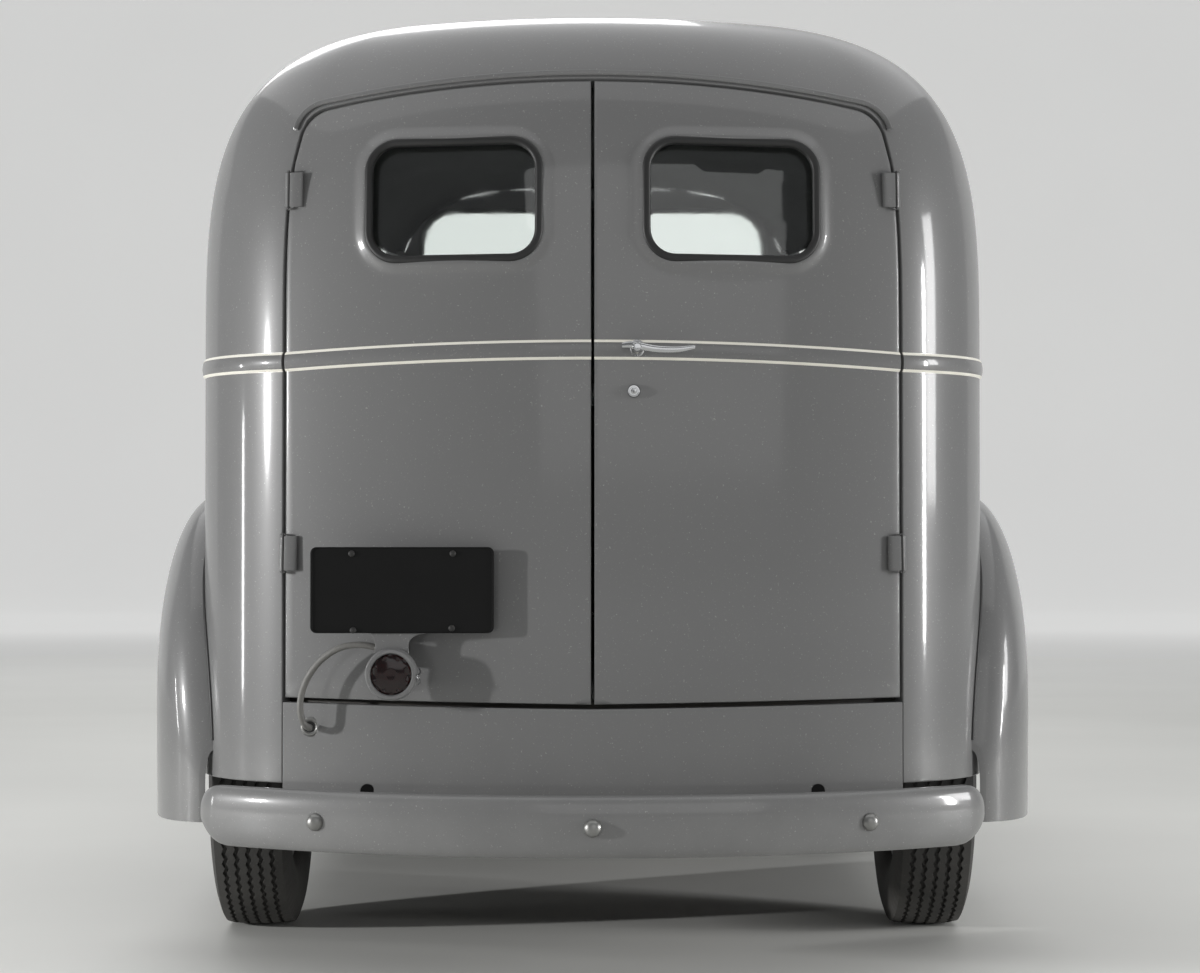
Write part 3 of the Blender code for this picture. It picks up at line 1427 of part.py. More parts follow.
def add_lamp_cable(look, hinge):
    """Cable that runs from the lamp bracket to the grommet in the apron."""
    route = [
        (LAMP_CENTRE[0] - 0.018 - SEAT - 0.001, -2.222, 0.645), (-0.450, -2.218, 0.650), (
            -0.490, -2.212, 0.641
        ),
        (-0.525, -2.200, 0.615), (-0.550, -2.190, 0.578), (-0.561, -2.186, 0.538), (-0.557, -2.182, 0.504),
        (GROMMET[0], GROMMET_Y - 0.018, GROMMET[1]), (GROMMET[0], GROMMET_Y - 0.0008, GROMMET[1]),
    ]
    points = smooth_route(route, 19)
    curve = bpy.data.curves.new("tail_lamp_cable", "CURVE")
    curve.dimensions = "3D"
    curve.bevel_depth = 0.0055
    curve.bevel_resolution = 1
    curve.use_fill_caps = True
    spline = curve.splines.new("POLY")
    spline.points.add(len(points) - 1)
    for spot, point in zip(spline.points, points):
        spot.co = (*point, 1.0)
    curve.materials.append(look)
    cable = bpy.data.objects.new("tail_lamp_cable", curve)
    bpy.context.scene.collection.objects.link(cable)
    cable.parent = hinge
    cable.matrix_parent_inverse = hinge.matrix_world.inverted()
    return cable


def smooth_route(route, count):
    """Points along a smooth curve through a route's own points."""
    ends = [np.array(route[0]) * 2 - np.array(route[1])]
    spots = ends + [np.array(p, float) for p in route] + [np.array(route[-1]) * 2 - np.array(route[-2])]
    made = []
    for t in np.linspace(0, len(route) - 1 - 1e-9, count):
        i = int(t)
        u = t - i
        a, b, c, d = spots[i : i + 4]
        made.append(
            0.5 * (
                2 * b + (c - a) * u + (2 * a - 5 * b + 4 * c - d) * u**2 + (3 * b - a - 3 * c + d) * u**3
            ),
        )
    return made


def add_door_handle(door):
    """Lever handle and lock of the right rear door."""
    z = BELT_BASE_Z + 0.025
    y = float(bow_y(0.08))
    fuse(door, rod("handle_boss", (0.085, y + 0.010, z), (0.085, y - 0.040, z), 0.011, 10))
    fuse(door, rod("handle_lever", (0.052, y - 0.036, z + 0.002), (0.192, y - 0.028, z - 0.004), 0.0085, 8))
    fuse(door, rod("lock", (0.079, y + 0.010, 1.143), (0.079, y - 0.008, 1.143), 0.0125, 12))


def add_empty(name, place):
    """Adds an empty that stands on a joint axis."""
    made = bpy.data.objects.new(name, None)
    made.location = place
    made.empty_display_size = 0.1
    bpy.context.scene.collection.objects.link(made)
    bpy.context.view_layer.update()
    return made


def add_body(paint, glass, dark):
    """Adds the body shell, its doors and its glass."""
    add_roof(paint)
    add_cowl(paint)
    add_floor(dark)
    apron = add_rear_apron(paint)
    fuse(
        apron,
        rod("grommet", (GROMMET[0], -2.100, GROMMET[1]), (GROMMET[0], GROMMET_Y, GROMMET[1]), 0.019, 14),
    )
    for side, word in ((1, "right"), (-1, "left")):
        panel = add_body_side(side, "body_side_" + word, paint)
        low = rear_hinge_point(side, REAR_HINGE_Z[0])
        high = rear_hinge_point(side, REAR_HINGE_Z[1])
        rear = add_empty("rear_hinge_" + word, low)
        door = add_rear_door(side, "rear_door_" + word, paint, rear)
        along = (high - low).normalized()
        for name, point in (("low", low), ("high", high)):
            add_hinge(
                door,
                panel,
                f"rear_hinge_{word}_{name}",
                point,
                along,
                Vector((-side, 0, 0)),
                Vector((0, 1, 0)),
            )
        if side > 0:
            add_door_handle(door)
        else:
            add_plate(material("plate_black", (0.01, 0.01, 0.01), 0.4), rear)
            add_tail_lamp(material("lamp_red", (0.15, 0.01, 0.01), 0.2), rear)
            add_lamp_cable(material("cable_grey", (0.15, 0.15, 0.15), 0.5), rear)
        add_rear_glass(side, "rear_glass_" + word, glass, rear)
        cab = add_empty("cab_hinge_" + word, cab_hinge_point(side, CAB_HINGE_Z[0]))
        front = add_cab_door(side, "cab_door_" + word, paint, cab)
        add_cab_glass(side, "cab_glass_" + word, glass, cab)
        for name, z in (("low", CAB_HINGE_Z[0]), ("high", CAB_HINGE_Z[1])):
            point = cab_hinge_point(side, z)
            add_hinge(
                front,
                bpy.data.objects["cowl"],
                f"cab_hinge_{word}_{name}",
                point,
                Vector((0, 0, 1)),
                Vector((0, -1, 0)),
                Vector((-side, 0, 0)),
            )
        add_windshield(side, "windshield_" + word, glass)


def add_chassis(steel, rubber, paint):
    """Adds the frame, the axles, the steering and the wheels."""
    add_frame(steel)
    add_front_axle(steel)
    add_rear_axle(steel)
    add_engine(steel)
    add_radiator(steel)
    add_fuel_tank(steel)
    add_exhaust(steel)
    for side, word in ((1, "right"), (-1, "left")):
        pin = add_empty("kingpin_" + word, (side * (TRACK / 2 - KINGPIN_INSET), FRONT_AXLE_Y, TYRE_RADIUS))
        add_knuckle(side, "knuckle_" + word, steel, pin)
        for place, y in (("front", FRONT_AXLE_Y), ("rear", REAR_AXLE_Y)):
            centre = (side * TRACK / 2, y, TYRE_RADIUS)
            hub = add_empty(f"hub_{place}_{word}", centre)
            add_tyre(f"tyre_{place}_{word}", centre, rubber, hub)
            add_wheel(side, f"wheel_{place}_{word}", centre, paint, hub)
    pivot = add_empty("tie_rod_pivot", (-ARM_END[0], FRONT_AXLE_Y - ARM_END[1], TYRE_RADIUS - 0.06))
    add_tie_rod(steel, pivot)


def add_outside(paint, dark, chrome):
    """Adds the fenders, hood, grille, running boards, bumpers and headlamps."""
    for side, word in ((1, "right"), (-1, "left")):
        add_rear_fender(side, "rear_fender_" + word, paint)
        add_front_fender(side, "front_fender_" + word, paint)
        add_running_board(side, "running_board_" + word, dark)
        lamp_body("headlamp_" + word, side, 0.0, chrome)
    pivot = Vector((0, HOOD_Y, HOOD_REAR_TOP + 0.012))
    hood = add_hood(paint, add_empty("hood_hinge", pivot))
    for side in (-1, 1):
        point = pivot + Vector((side * HOOD_HINGE_X, 0, 0))
        add_hinge(
            hood,
            bpy.data.objects["cowl"],
            f"hood_hinge{side}",
            point,
            Vector((1, 0, 0)),
            Vector((0, 1, 0)),
            Vector((0, 0, -1)),
            0.030,
        )
    add_grille(paint)
    add_bumper("rear_bumper", 0, paint)
    add_bumper("front_bumper", 1, paint)


def main():
    """Builds the van."""
    clear_scene()
    paint = material("grey_paint", (0.20, 0.20, 0.20), 0.32)
    glass = material("window_glass", (0.80, 0.85, 0.85), 0.05)
    dark = material("black_paint", (0.03, 0.03, 0.03), 0.5)
    steel = material("chassis_black", (0.03, 0.03, 0.03), 0.6)
    rubber = material("tyre_rubber", (0.03, 0.03, 0.03), 0.85)
    chrome = material("chrome", (0.60, 0.60, 0.60), 0.15, 1.0)
    cloth = material("seat_cloth", (0.08, 0.06, 0.05), 0.9)
    add_body(paint, glass, dark)
    add_chassis(steel, rubber, paint)
    add_outside(paint, dark, chrome)
    add_seat(cloth)
    add_steering_wheel(dark)


main()
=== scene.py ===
"""Looks of a middle-1940s half-ton panel delivery van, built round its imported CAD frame."""

import logging
import math
from collections.abc import Callable, Sequence
from dataclasses import dataclass
from enum import Enum

import bmesh
import bpy
import numpy as np
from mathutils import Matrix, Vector


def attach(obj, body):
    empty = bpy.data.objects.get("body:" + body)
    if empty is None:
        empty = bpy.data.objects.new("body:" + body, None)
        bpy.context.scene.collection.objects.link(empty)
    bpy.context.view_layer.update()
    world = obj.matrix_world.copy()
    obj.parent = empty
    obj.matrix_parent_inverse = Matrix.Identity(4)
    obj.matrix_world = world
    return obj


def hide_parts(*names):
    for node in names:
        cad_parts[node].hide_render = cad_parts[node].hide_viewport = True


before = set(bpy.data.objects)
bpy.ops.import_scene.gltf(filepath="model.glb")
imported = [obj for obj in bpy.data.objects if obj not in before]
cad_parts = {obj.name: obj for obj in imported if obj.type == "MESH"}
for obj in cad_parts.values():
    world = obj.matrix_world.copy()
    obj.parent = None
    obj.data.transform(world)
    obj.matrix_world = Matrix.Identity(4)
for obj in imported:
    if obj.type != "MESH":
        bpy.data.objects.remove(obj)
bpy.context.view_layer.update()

log = logging.getLogger("panel_van")

Array = np.ndarray
SIDES = ((1, "right"), (-1, "left"))
TYRE_RADIUS = 0.357
FRONT_AXLE_Y = 1.598
REAR_AXLE_Y = -1.298
HALF_TRACK = 0.7365
STEP_TOP = 0.3723


# Mesh tools


def joined(x: Array, y: Array, z: Array) -> Array:
    """Points from three coordinates that fit one shape."""
    return np.stack(np.broadcast_arrays(x, y, z), -1)


def full_turn(steps: int) -> Array:
    """Even angles round a circle, without the last one."""
    return np.linspace(0, 2 * math.pi, steps, endpoint=False)


def windshield_y(z: Array) -> Array:
    """Place of the windshield's plane at a height; it leans back 0.2 m in 0.63 m."""
    return 0.700 - (z - 1.270) * 0.2 / 0.63


def grid_faces(rows: int, columns: int, wrap_rows: bool, wrap_columns: bool, start: int = 0) -> Array:
    """Quads of a grid whose point (r, c) has the number start + r * columns + c.

    Args:
        rows: Rows of points.
        columns: Columns of points.
        wrap_rows: Joins the last row to the first.
        wrap_columns: Joins the last column to the first.
        start: Number of the first point.

    Returns:
        Array of quads, one row of four numbers each.
    """
    r = np.arange(rows if wrap_rows else rows - 1)
    c = np.arange(columns if wrap_columns else columns - 1)
    r0, c0 = np.meshgrid(r, c, indexing="ij")
    r1, c1 = (r0 + 1) % rows, (c0 + 1) % columns
    quads = np.stack([r0 * columns + c0, r0 * columns + c1, r1 * columns + c1, r1 * columns + c0], -1)
    return quads.reshape(-1, 4) + start


def build_mesh(name: str, points: Array, quads: Array, caps: Sequence[Sequence[int]] = ()) -> bpy.types.Mesh:
    """Puts points, quads and a few many-sided caps into a mesh.

    Args:
        name: Name of the mesh.
        points: Points, in any grid shape whose last axis is X, Y, Z.
        quads: Quads as rows of four point numbers.
        caps: Further faces, each a list of point numbers.

    Returns:
        The new mesh.
    """
    mesh = bpy.data.meshes.new(name)
    mesh.from_pydata(points.reshape(-1, 3).tolist(), [], quads.tolist() + [list(cap) for cap in caps])
    return mesh


def tube(name: str, grid: Array, wrap_rows: bool = False, wrap_columns: bool = True) -> bpy.types.Object:
    """Object from rings of points, closed at both ends where the rows don't wrap.

    Args:
        name: Name of the piece.
        grid: Points as rows of rings, shape (rows, columns, 3).
        wrap_rows: Joins the last ring to the first.
        wrap_columns: Closes each ring.

    Returns:
        The new object.
    """
    rows, columns = grid.shape[:2]
    caps = [] if wrap_rows or not wrap_columns else [range(columns),
                                                     range((rows - 1) * columns, rows * columns)]
    mesh = build_mesh(name, grid, grid_faces(rows, columns, wrap_rows, wrap_columns), caps)
    made = bpy.data.objects.new(name, mesh)
    bpy.context.scene.collection.objects.link(made)
    return made


def slab(name: str, outer: Array, inner: Array) -> bpy.types.Object:
    """Closed sheet between two grids of one shape: both skins and a strip of quads round the rim.

    The faces of the inner skin carry material number 1, so that a lining can be put there.

    Args:
        name: Name of the piece.
        outer: Points of the outer skin, shape (rows, columns, 3).
        inner: Points of the inner skin, of the same shape.

    Returns:
        The new object.
    """
    rows, columns = outer.shape[:2]
    count = rows * columns
    front = grid_faces(rows, columns, False, False)
    back = grid_faces(rows, columns, False, False, count)[:, ::-1]
    index = np.arange(count).reshape(rows, columns)
    rim = np.concatenate([index[0, :-1], index[:-1, -1], index[-1, :0:-1], index[:0:-1, 0]])
    after = np.roll(rim, -1)
    edge = np.stack([rim, after, after + count, rim + count], -1)
    mesh = build_mesh(name, np.concatenate([outer.reshape(-1, 3), inner.reshape(-1, 3)]),
                      np.concatenate([front, edge, back]))
    numbers = np.zeros(len(mesh.polygons), np.int32)
    numbers[len(front) + len(edge):] = 1
    mesh.polygons.foreach_set("material_index", numbers)
    made = bpy.data.objects.new(name, mesh)
    bpy.context.scene.collection.objects.link(made)
    return made


def turned(name: str, profile: Array, centre: Sequence[float], axis: int, steps: int = 64,
           ring: bool = False) -> bpy.types.Object:
    """Turned piece: a profile of (along, radius) swept round an axis through a centre.

    Args:
        name: Name of the piece.
        profile: Rows of (place along the axis, radius); ends with a radius of 0 close it.
        centre: Centre on the axis.
        axis: Number of the axis, 0 to 2 for X to Z.
        steps: Points of each turn.
        ring: The profile is a closed loop off the axis.

    Returns:
        The new object.
    """
    profile = np.asarray(profile, float)
    angle = full_turn(steps)
    along = np.repeat(profile[:, :1], steps, 1)
    across = profile[:, 1:] * np.cos(angle)
    up = profile[:, 1:] * np.sin(angle)
    order = {0: (along, across, up), 1: (across, along, up), 2: (across, up, along)}[axis]
    return tube(name, np.stack(order, -1) + np.asarray(centre, float), wrap_rows=ring)


def sweep(name: str, path: Array, section: Array, up: Sequence[float] = (0, 0, 1),
          closed: bool = False) -> bpy.types.Object:
    """Profile carried along a path: each point is the path's plus the section across it.

    The tangent is the path's difference, the side is tangent cross up, and the rise is side cross
    tangent, all of unit length.

    Args:
        name: Name of the piece.
        path: Points of the path, shape (n, 3).
        section: Closed section as rows of (side, rise).
        up: Direction that the rise leans to.
        closed: The path joins up with itself.

    Returns:
        The new object.
    """
    path = np.asarray(path, float)
    section = np.asarray(section, float)
    if closed:
        tangent = np.roll(path, -1, 0) - np.roll(path, 1, 0)
    else:
        tangent = np.gradient(path, axis=0)
    tangent /= np.linalg.norm(tangent, axis=1, keepdims=True)
    side = np.cross(tangent, np.asarray(up, float))
    side /= np.linalg.norm(side, axis=1, keepdims=True)
    rise = np.cross(side, tangent)
    grid = path[:, None] + section[None, :, :1] * side[:, None] + section[None, :, 1:] * rise[:, None]
    return tube(name, grid, wrap_rows=closed)


def disc_section(radius: float, steps: int = 12) -> Array:
    """Round section: (radius cos a, radius sin a) for whole turns of a."""
    angle = full_turn(steps)
    return np.stack([np.cos(angle), np.sin(angle)], 1) * radius


def soft_section(width: float, height: float, power: float = 0.6, steps: int = 24) -> Array:
    """Rounded oblong section: half width and height times the signed cosine and sine to a power."""
    angle = full_turn(steps)
    cos, sin = np.cos(angle), np.sin(angle)
    return np.stack([np.sign(cos) * np.abs(cos) ** power * width / 2,
                     np.sign(sin) * np.abs(sin) ** power * height / 2], 1)


def smooth_path(points: Sequence[Sequence[float]], count: int) -> Array:
    """Curve through points: each span is the cubic whose slopes are half the neighbours' distance."""
    p = np.asarray(points, float)
    p = np.concatenate([2 * p[:1] - p[1:2], p, 2 * p[-1:] - p[-2:-1]])
    t = np.linspace(0, len(points) - 1 - 1e-9, count)
    i = t.astype(int)
    u = (t - i)[:, None]
    a, b, c, d = p[i], p[i + 1], p[i + 2], p[i + 3]
    return 0.5 * (2 * b + (c - a) * u + (2 * a - 5 * b + 4 * c - d) * u**2 + (3 * b - a - 3 * c + d) * u**3)


def rounded_loop(corners: Sequence[Sequence[float]], radii: Sequence[float], steps: int = 8) -> Array:
    """Flat outline with rounded corners: an arc about the point that lies a radius from both edges.

    Args:
        corners: Corners of the outline, in order.
        radii: Radius of each corner; 0 leaves it sharp.
        steps: Spans of each arc.

    Returns:
        The outline's points, shape (n, 2).
    """
    made = []
    for i, radius in enumerate(radii):
        corner = np.asarray(corners[i], float)
        if radius <= 0:
            made.append(corner[None])
            continue
        first = np.asarray(corners[i - 1], float) - corner
        second = np.asarray(corners[(i + 1) % len(corners)], float) - corner
        first /= np.linalg.norm(first)
        second /= np.linalg.norm(second)
        half = math.acos(np.clip(first @ second, -1, 1)) / 2
        bisector = (first + second) / np.linalg.norm(first + second)
        centre = corner + bisector * radius / math.sin(half)
        start = corner + first * radius / math.tan(half) - centre
        stop = corner + second * radius / math.tan(half) - centre
        spread = math.pi - 2 * half
        t = np.linspace(0, 1, steps + 1)[:, None]
        arc = np.sin((1 - t) * spread) * start + np.sin(t * spread) * stop
        made.append(centre + arc / math.sin(spread))
    return np.concatenate(made)


def star(outline: Array, centre: Array, angles: Array) -> Array:
    """Points where rays from a centre leave an outline, found edge by edge and the furthest kept.

    Args:
        outline: Closed outline round the centre, shape (n, 2).
        centre: Point that sees the whole outline.
        angles: Directions of the rays.

    Returns:
        One point for each ray.
    """
    a = outline - centre
    b = np.roll(outline, -1, 0) - centre
    way = np.stack([np.cos(angles), np.sin(angles)], 1)
    edge = b - a
    cross = way[:, None, 0] * edge[None, :, 1] - way[:, None, 1] * edge[None, :, 0]
    cross = np.where(np.abs(cross) < 1e-12, 1e-12, cross)
    reach = (a[None, :, 0] * edge[None, :, 1] - a[None, :, 1] * edge[None, :, 0]) / cross
    share = (a[None, :, 0] * way[:, None, 1] - a[None, :, 1] * way[:, None, 0]) / cross
    reach = np.where((share > -1e-6) & (share < 1 + 1e-6), reach, -1.0)
    return centre + way * reach.max(1)[:, None]


# Finishes


def linear(hex_colour: str) -> tuple[float, float, float, float]:
    """Linear colour of an sRGB hex: c / 12.92 up to 0.04045, above it ((c + 0.055) / 1.055) ** 2.4."""
    parts = [int(hex_colour[i:i + 2], 16) / 255 for i in (1, 3, 5)]
    return (*[c / 12.92 if c <= 0.04045 else ((c + 0.055) / 1.055) ** 2.4 for c in parts], 1.0)


def add_node(tree: bpy.types.NodeTree, kind: str, feeds: dict | None = None,
             **settings: object) -> bpy.types.Node:
    """Adds a node with its settings; feeds gives each input a value or another node's output.

    Args:
        tree: Tree of the material.
        kind: Type of the node.
        feeds: Input name or number to a value, or to a socket that is linked to it.
        **settings: Properties of the node.

    Returns:
        The new node.
    """
    node = tree.nodes.new(kind)
    for key, value in settings.items():
        setattr(node, key, value)
    for key, value in (feeds or {}).items():
        if isinstance(value, bpy.types.NodeSocket):
            tree.links.new(value, node.inputs[key])
        else:
            node.inputs[key].default_value = value
    return node


def ranged(tree: bpy.types.NodeTree, value: object, *ends: object) -> bpy.types.NodeSocket:
    """Socket with a value brought from one range to another; ends are the two ranges' ends."""
    feeds = {"Value": value, **dict(enumerate(ends, 1))}
    return add_node(tree, "ShaderNodeMapRange", feeds).outputs[0]


def maths(tree: bpy.types.NodeTree, operation: str, first: object, second: object) -> bpy.types.NodeSocket:
    """Socket with the result of a sum on two values."""
    return add_node(tree, "ShaderNodeMath", {0: first, 1: second}, operation=operation).outputs[0]


def mixed(tree: bpy.types.NodeTree, share: object, first: object, second: object) -> bpy.types.NodeSocket:
    """Socket with two colours mixed by a share."""
    return add_node(tree, "ShaderNodeMix", {0: share, 6: first, 7: second}, data_type="RGBA").outputs[2]


def blank_material(name: str) -> tuple[bpy.types.Material, bpy.types.NodeTree, bpy.types.NodeSocket]:
    """New material without nodes but for its object coordinates, with its tree and their socket."""
    made = bpy.data.materials.new(name)
    made.use_nodes = True
    tree = made.node_tree
    tree.nodes.clear()
    return made, tree, add_node(tree, "ShaderNodeTexCoord").outputs["Object"]


class Relief(Enum):
    """What the fine relief of a surface is made of."""

    PEEL = "peel"
    GRAIN = "grain"
    BRUSHED = "brushed"
    WOVEN = "woven"


@dataclass(frozen=True)
class Finish:
    """Opaque finish with patches of tone, specks of dust, dirt below a height and fine relief.

    The patches mix two colours by a noise whose spots have the patch size. The relief is a noise or
    wave of the grain size, raised by its depth. All sizes are in millimetres.
    """

    name: str
    colour: str
    patch_colour: str
    patch: float
    patch_share: float = 0.35
    roughness: float = 0.4
    roughness_spread: float = 0.1
    metallic: float = 0.0
    coat: float = 0.0
    specular: float = 0.5
    relief: Relief = Relief.PEEL
    grain: float = 2.5
    depth: float = 0.01
    dust: str = "#8a8880"
    dust_share: float = 0.0
    dirt_top: float = 0.0
    dirt_share: float = 0.0

    def material(self) -> bpy.types.Material:
        """The finish's material, made once."""
        return bpy.data.materials.get(self.name) or self.build()

    def height(self, tree: bpy.types.NodeTree, place: bpy.types.NodeSocket) -> bpy.types.NodeSocket:
        """Socket with the fine relief, from 0 to 1."""
        if self.relief is Relief.WOVEN:
            waves = [add_node(tree, "ShaderNodeTexWave",
                              {"Vector": place, "Scale": 1000 / self.grain / 20, "Distortion": 0.4},
                              wave_type="BANDS", bands_direction=way, wave_profile="SIN")
                     for way in ("X", "Z")]
            return maths(tree, "MULTIPLY", waves[0].outputs["Fac"], waves[1].outputs["Fac"])
        stretch = (1, 1, 0.03) if self.relief is Relief.BRUSHED else (1, 1, 1)
        moved = add_node(tree, "ShaderNodeMapping", {"Vector": place, "Scale": stretch})
        noise = add_node(tree, "ShaderNodeTexNoise",
                         {"Vector": moved.outputs[0], "Scale": 1000 / self.grain,
                          "Detail": 3.0 if self.relief is Relief.GRAIN else 1.0})
        return noise.outputs["Fac"]

    def build(self) -> bpy.types.Material:
        """Makes the material."""
        made, tree, place = blank_material(self.name)
        patch = add_node(tree, "ShaderNodeTexNoise",
                         {"Vector": place, "Scale": 1000 / self.patch, "Detail": 4.0, "Roughness": 0.6})
        share = ranged(tree, patch.outputs["Fac"], 0.35, 0.7, 0.0, self.patch_share)
        colour = mixed(tree, share, linear(self.colour), linear(self.patch_colour))
        rough = ranged(tree, patch.outputs["Fac"], 0.3, 0.7, self.roughness - self.roughness_spread / 2,
                       self.roughness + self.roughness_spread / 2)
        if self.dust_share > 0:
            fleck = add_node(tree, "ShaderNodeTexNoise", {"Vector": place, "Scale": 260.0, "Detail": 2.0})
            spots = ranged(tree, fleck.outputs["Fac"], 0.66, 0.78, 0.0, self.dust_share)
            colour = mixed(tree, spots, colour, linear(self.dust))
        if self.dirt_share > 0:
            split = add_node(tree, "ShaderNodeSeparateXYZ", {0: place})
            film = add_node(tree, "ShaderNodeTexNoise",
                            {"Vector": place, "Scale": 9.0, "Detail": 6.0, "Roughness": 0.7})
            low = ranged(tree, split.outputs["Z"], self.dirt_top, 0.0, 0.0, self.dirt_share)
            film_share = maths(tree, "MULTIPLY", low, film.outputs["Fac"])
            colour = mixed(tree, film_share, colour, linear(self.dust))
        bump = add_node(tree, "ShaderNodeBump", {"Height": self.height(tree, place),
                                                 "Distance": self.depth / 1000, "Strength": 1.0})
        shader = add_node(
            tree, "ShaderNodeBsdfPrincipled",
            {"Base Color": colour, "Roughness": rough, "Metallic": self.metallic, "Coat Weight": self.coat,
             "Coat Roughness": 0.08, "Specular IOR Level": self.specular, "Normal": bump.outputs[0]},
        )
        add_node(tree, "ShaderNodeOutputMaterial", {"Surface": shader.outputs[0]})
        return made


@dataclass(frozen=True)
class ClearGlass:
    """Clear or coloured glass, with a faint film that roughens it in patches."""

    name: str
    colour: str
    roughness: float = 0.02
    ior: float = 1.52

    def material(self) -> bpy.types.Material:
        """The glass's material, made once."""
        return bpy.data.materials.get(self.name) or self.build()

    def build(self) -> bpy.types.Material:
        """Makes the material."""
        made, tree, place = blank_material(self.name)
        film = add_node(tree, "ShaderNodeTexNoise", {"Vector": place, "Scale": 14.0, "Detail": 5.0})
        rough = ranged(tree, film.outputs["Fac"], 0.4, 0.8, self.roughness, self.roughness + 0.04)
        shader = add_node(tree, "ShaderNodeBsdfPrincipled",
                          {"Base Color": linear(self.colour), "Roughness": rough, "IOR": self.ior,
                           "Transmission Weight": 1.0})
        add_node(tree, "ShaderNodeOutputMaterial", {"Surface": shader.outputs[0]})
        return made


# Semi-gloss baked enamel over steel: even grey, a soft sheen, faint orange peel, specks of dust.
BODY_ENAMEL = Finish("grey_baked_enamel", "#6d6d6d", "#696969", 520, roughness=0.34, roughness_spread=0.05,
                     coat=0.55, grain=3.5, depth=0.004, specular=0.22, dust="#c4c4c0", dust_share=0.35,
                     dirt_top=0.55, dirt_share=0.3)
# Cadmium plate gone dull, on bolts and the grommet.
DULL_PLATE = Finish("dull_cadmium_plate", "#8f8f8d", "#7c7b78", 30, roughness=0.38, metallic=0.8, grain=1.5,
                    depth=0.02)
# Brown-grey stoved paint of the mouldings in the cab.
MOULDING_PAINT = Finish("stoved_moulding_paint", "#4a4947", "#42413f", 80, roughness=0.34, coat=0.2,
                        grain=3.0, depth=0.01)
# Fibre lining of the inner faces, dull; its near-black colour is painted shade of the dim load space, as dark
# as the photograph's load space is.
LINING_PAINTED_SHADE = Finish("fibre_lining_painted_shade", "#191817", "#211f1d", 160, roughness=0.75, relief=Relief.GRAIN,
                grain=2.0, depth=0.1)
# Hand-drawn coach stripe in cream enamel, a little thicker than the coat below it.
STRIPE_ENAMEL = Finish("cream_stripe_enamel", "#e9e6dc", "#dedacd", 60, roughness=0.35, grain=2.0, depth=0.01)
# Brushed-on black asphalt paint of a chassis, dull, with road dust.
CHASSIS_PAINT = Finish("black_chassis_paint", "#1b1b1b", "#2a2826", 90, roughness=0.6, relief=Relief.GRAIN,
                       grain=4.0, depth=0.15, dust="#6c665c", dust_share=0.5, dirt_top=0.6, dirt_share=0.5)
# Sand-cast iron, grey and coarse.
CAST_IRON = Finish("sand_cast_iron", "#3a3a39", "#4a423a", 60, roughness=0.7, metallic=0.5,
                   relief=Relief.GRAIN, grain=1.6, depth=0.2)
# Sheet steel pipe, browned by heat.
PIPE_STEEL = Finish("heat_browned_steel", "#5a4a40", "#3a3634", 70, roughness=0.62, metallic=0.6,
                    relief=Relief.GRAIN, grain=3.0, depth=0.1)
# Chromium plate over buffed steel: mirror-like with a faint haze.
CHROME = Finish("chromium_plate", "#c9cacb", "#b9babb", 40, roughness=0.12, roughness_spread=0.08,
                metallic=1.0, grain=1.5, depth=0.003)
# Natural rubber filled with carbon black, dull, dusty in its grooves.
TYRE_RUBBER = Finish("carbon_black_rubber", "#303030", "#3c3a38", 45, roughness=0.78, relief=Relief.GRAIN,
                     grain=1.2, depth=0.08, dust="#86827a", dust_share=0.35, dirt_top=0.4, dirt_share=0.3)
# Extruded black rubber of gaskets and step mats, with a soft sheen.
GASKET_RUBBER = Finish("extruded_black_rubber", "#131313", "#1c1c1c", 30, roughness=0.5,
                       relief=Relief.GRAIN, grain=1.0, depth=0.03)
# Stove-dried black enamel of a number plate, satin; the same black is also put as painted shade in the
# apron's bolt holes and the lock's keyhole.
PLATE_ENAMEL = Finish("black_stoved_enamel", "#090909", "#0e0e0e", 50, roughness=0.5, grain=2.0, depth=0.01,
                      specular=0.2)
# Grained imitation leather on the seat, brown-black.
SEAT_CLOTH = Finish("grained_imitation_leather", "#3b2d25", "#2e241f", 110, roughness=0.5,
                    relief=Relief.GRAIN, grain=1.8, depth=0.15)
# Hard rubber of a steering wheel, polished by hands.
HARD_RUBBER = Finish("polished_hard_rubber", "#141210", "#1e1a17", 60, roughness=0.28, coat=0.2, grain=3.0,
                     depth=0.01)
# Lacquered cotton braid over a lamp cable.
CABLE_BRAID = Finish("lacquered_cotton_braid", "#6d6c69", "#575653", 12, roughness=0.55,
                     relief=Relief.WOVEN, grain=1.6, depth=0.25)
# Painted load floor of hard boards, scuffed by boxes.
FLOOR_PAINT = Finish("scuffed_floor_paint", "#33302c", "#4a443c", 130, roughness=0.65, relief=Relief.GRAIN,
                     grain=5.0, depth=0.2)
# Bent copper-brass core of a radiator, painted thinly black.
CORE_PAINT = Finish("thin_core_paint", "#1d1c1a", "#3d3426", 25, roughness=0.6, metallic=0.4,
                    relief=Relief.WOVEN, grain=6.0, depth=0.6)
WINDOW_GLASS = ClearGlass("drawn_sheet_glass", "#eef2f0")
RED_GLASS = ClearGlass("pressed_ruby_glass", "#4a0503", roughness=0.08)
LAMP_GLASS = ClearGlass("pressed_clear_glass", "#f2f4f2", roughness=0.06)


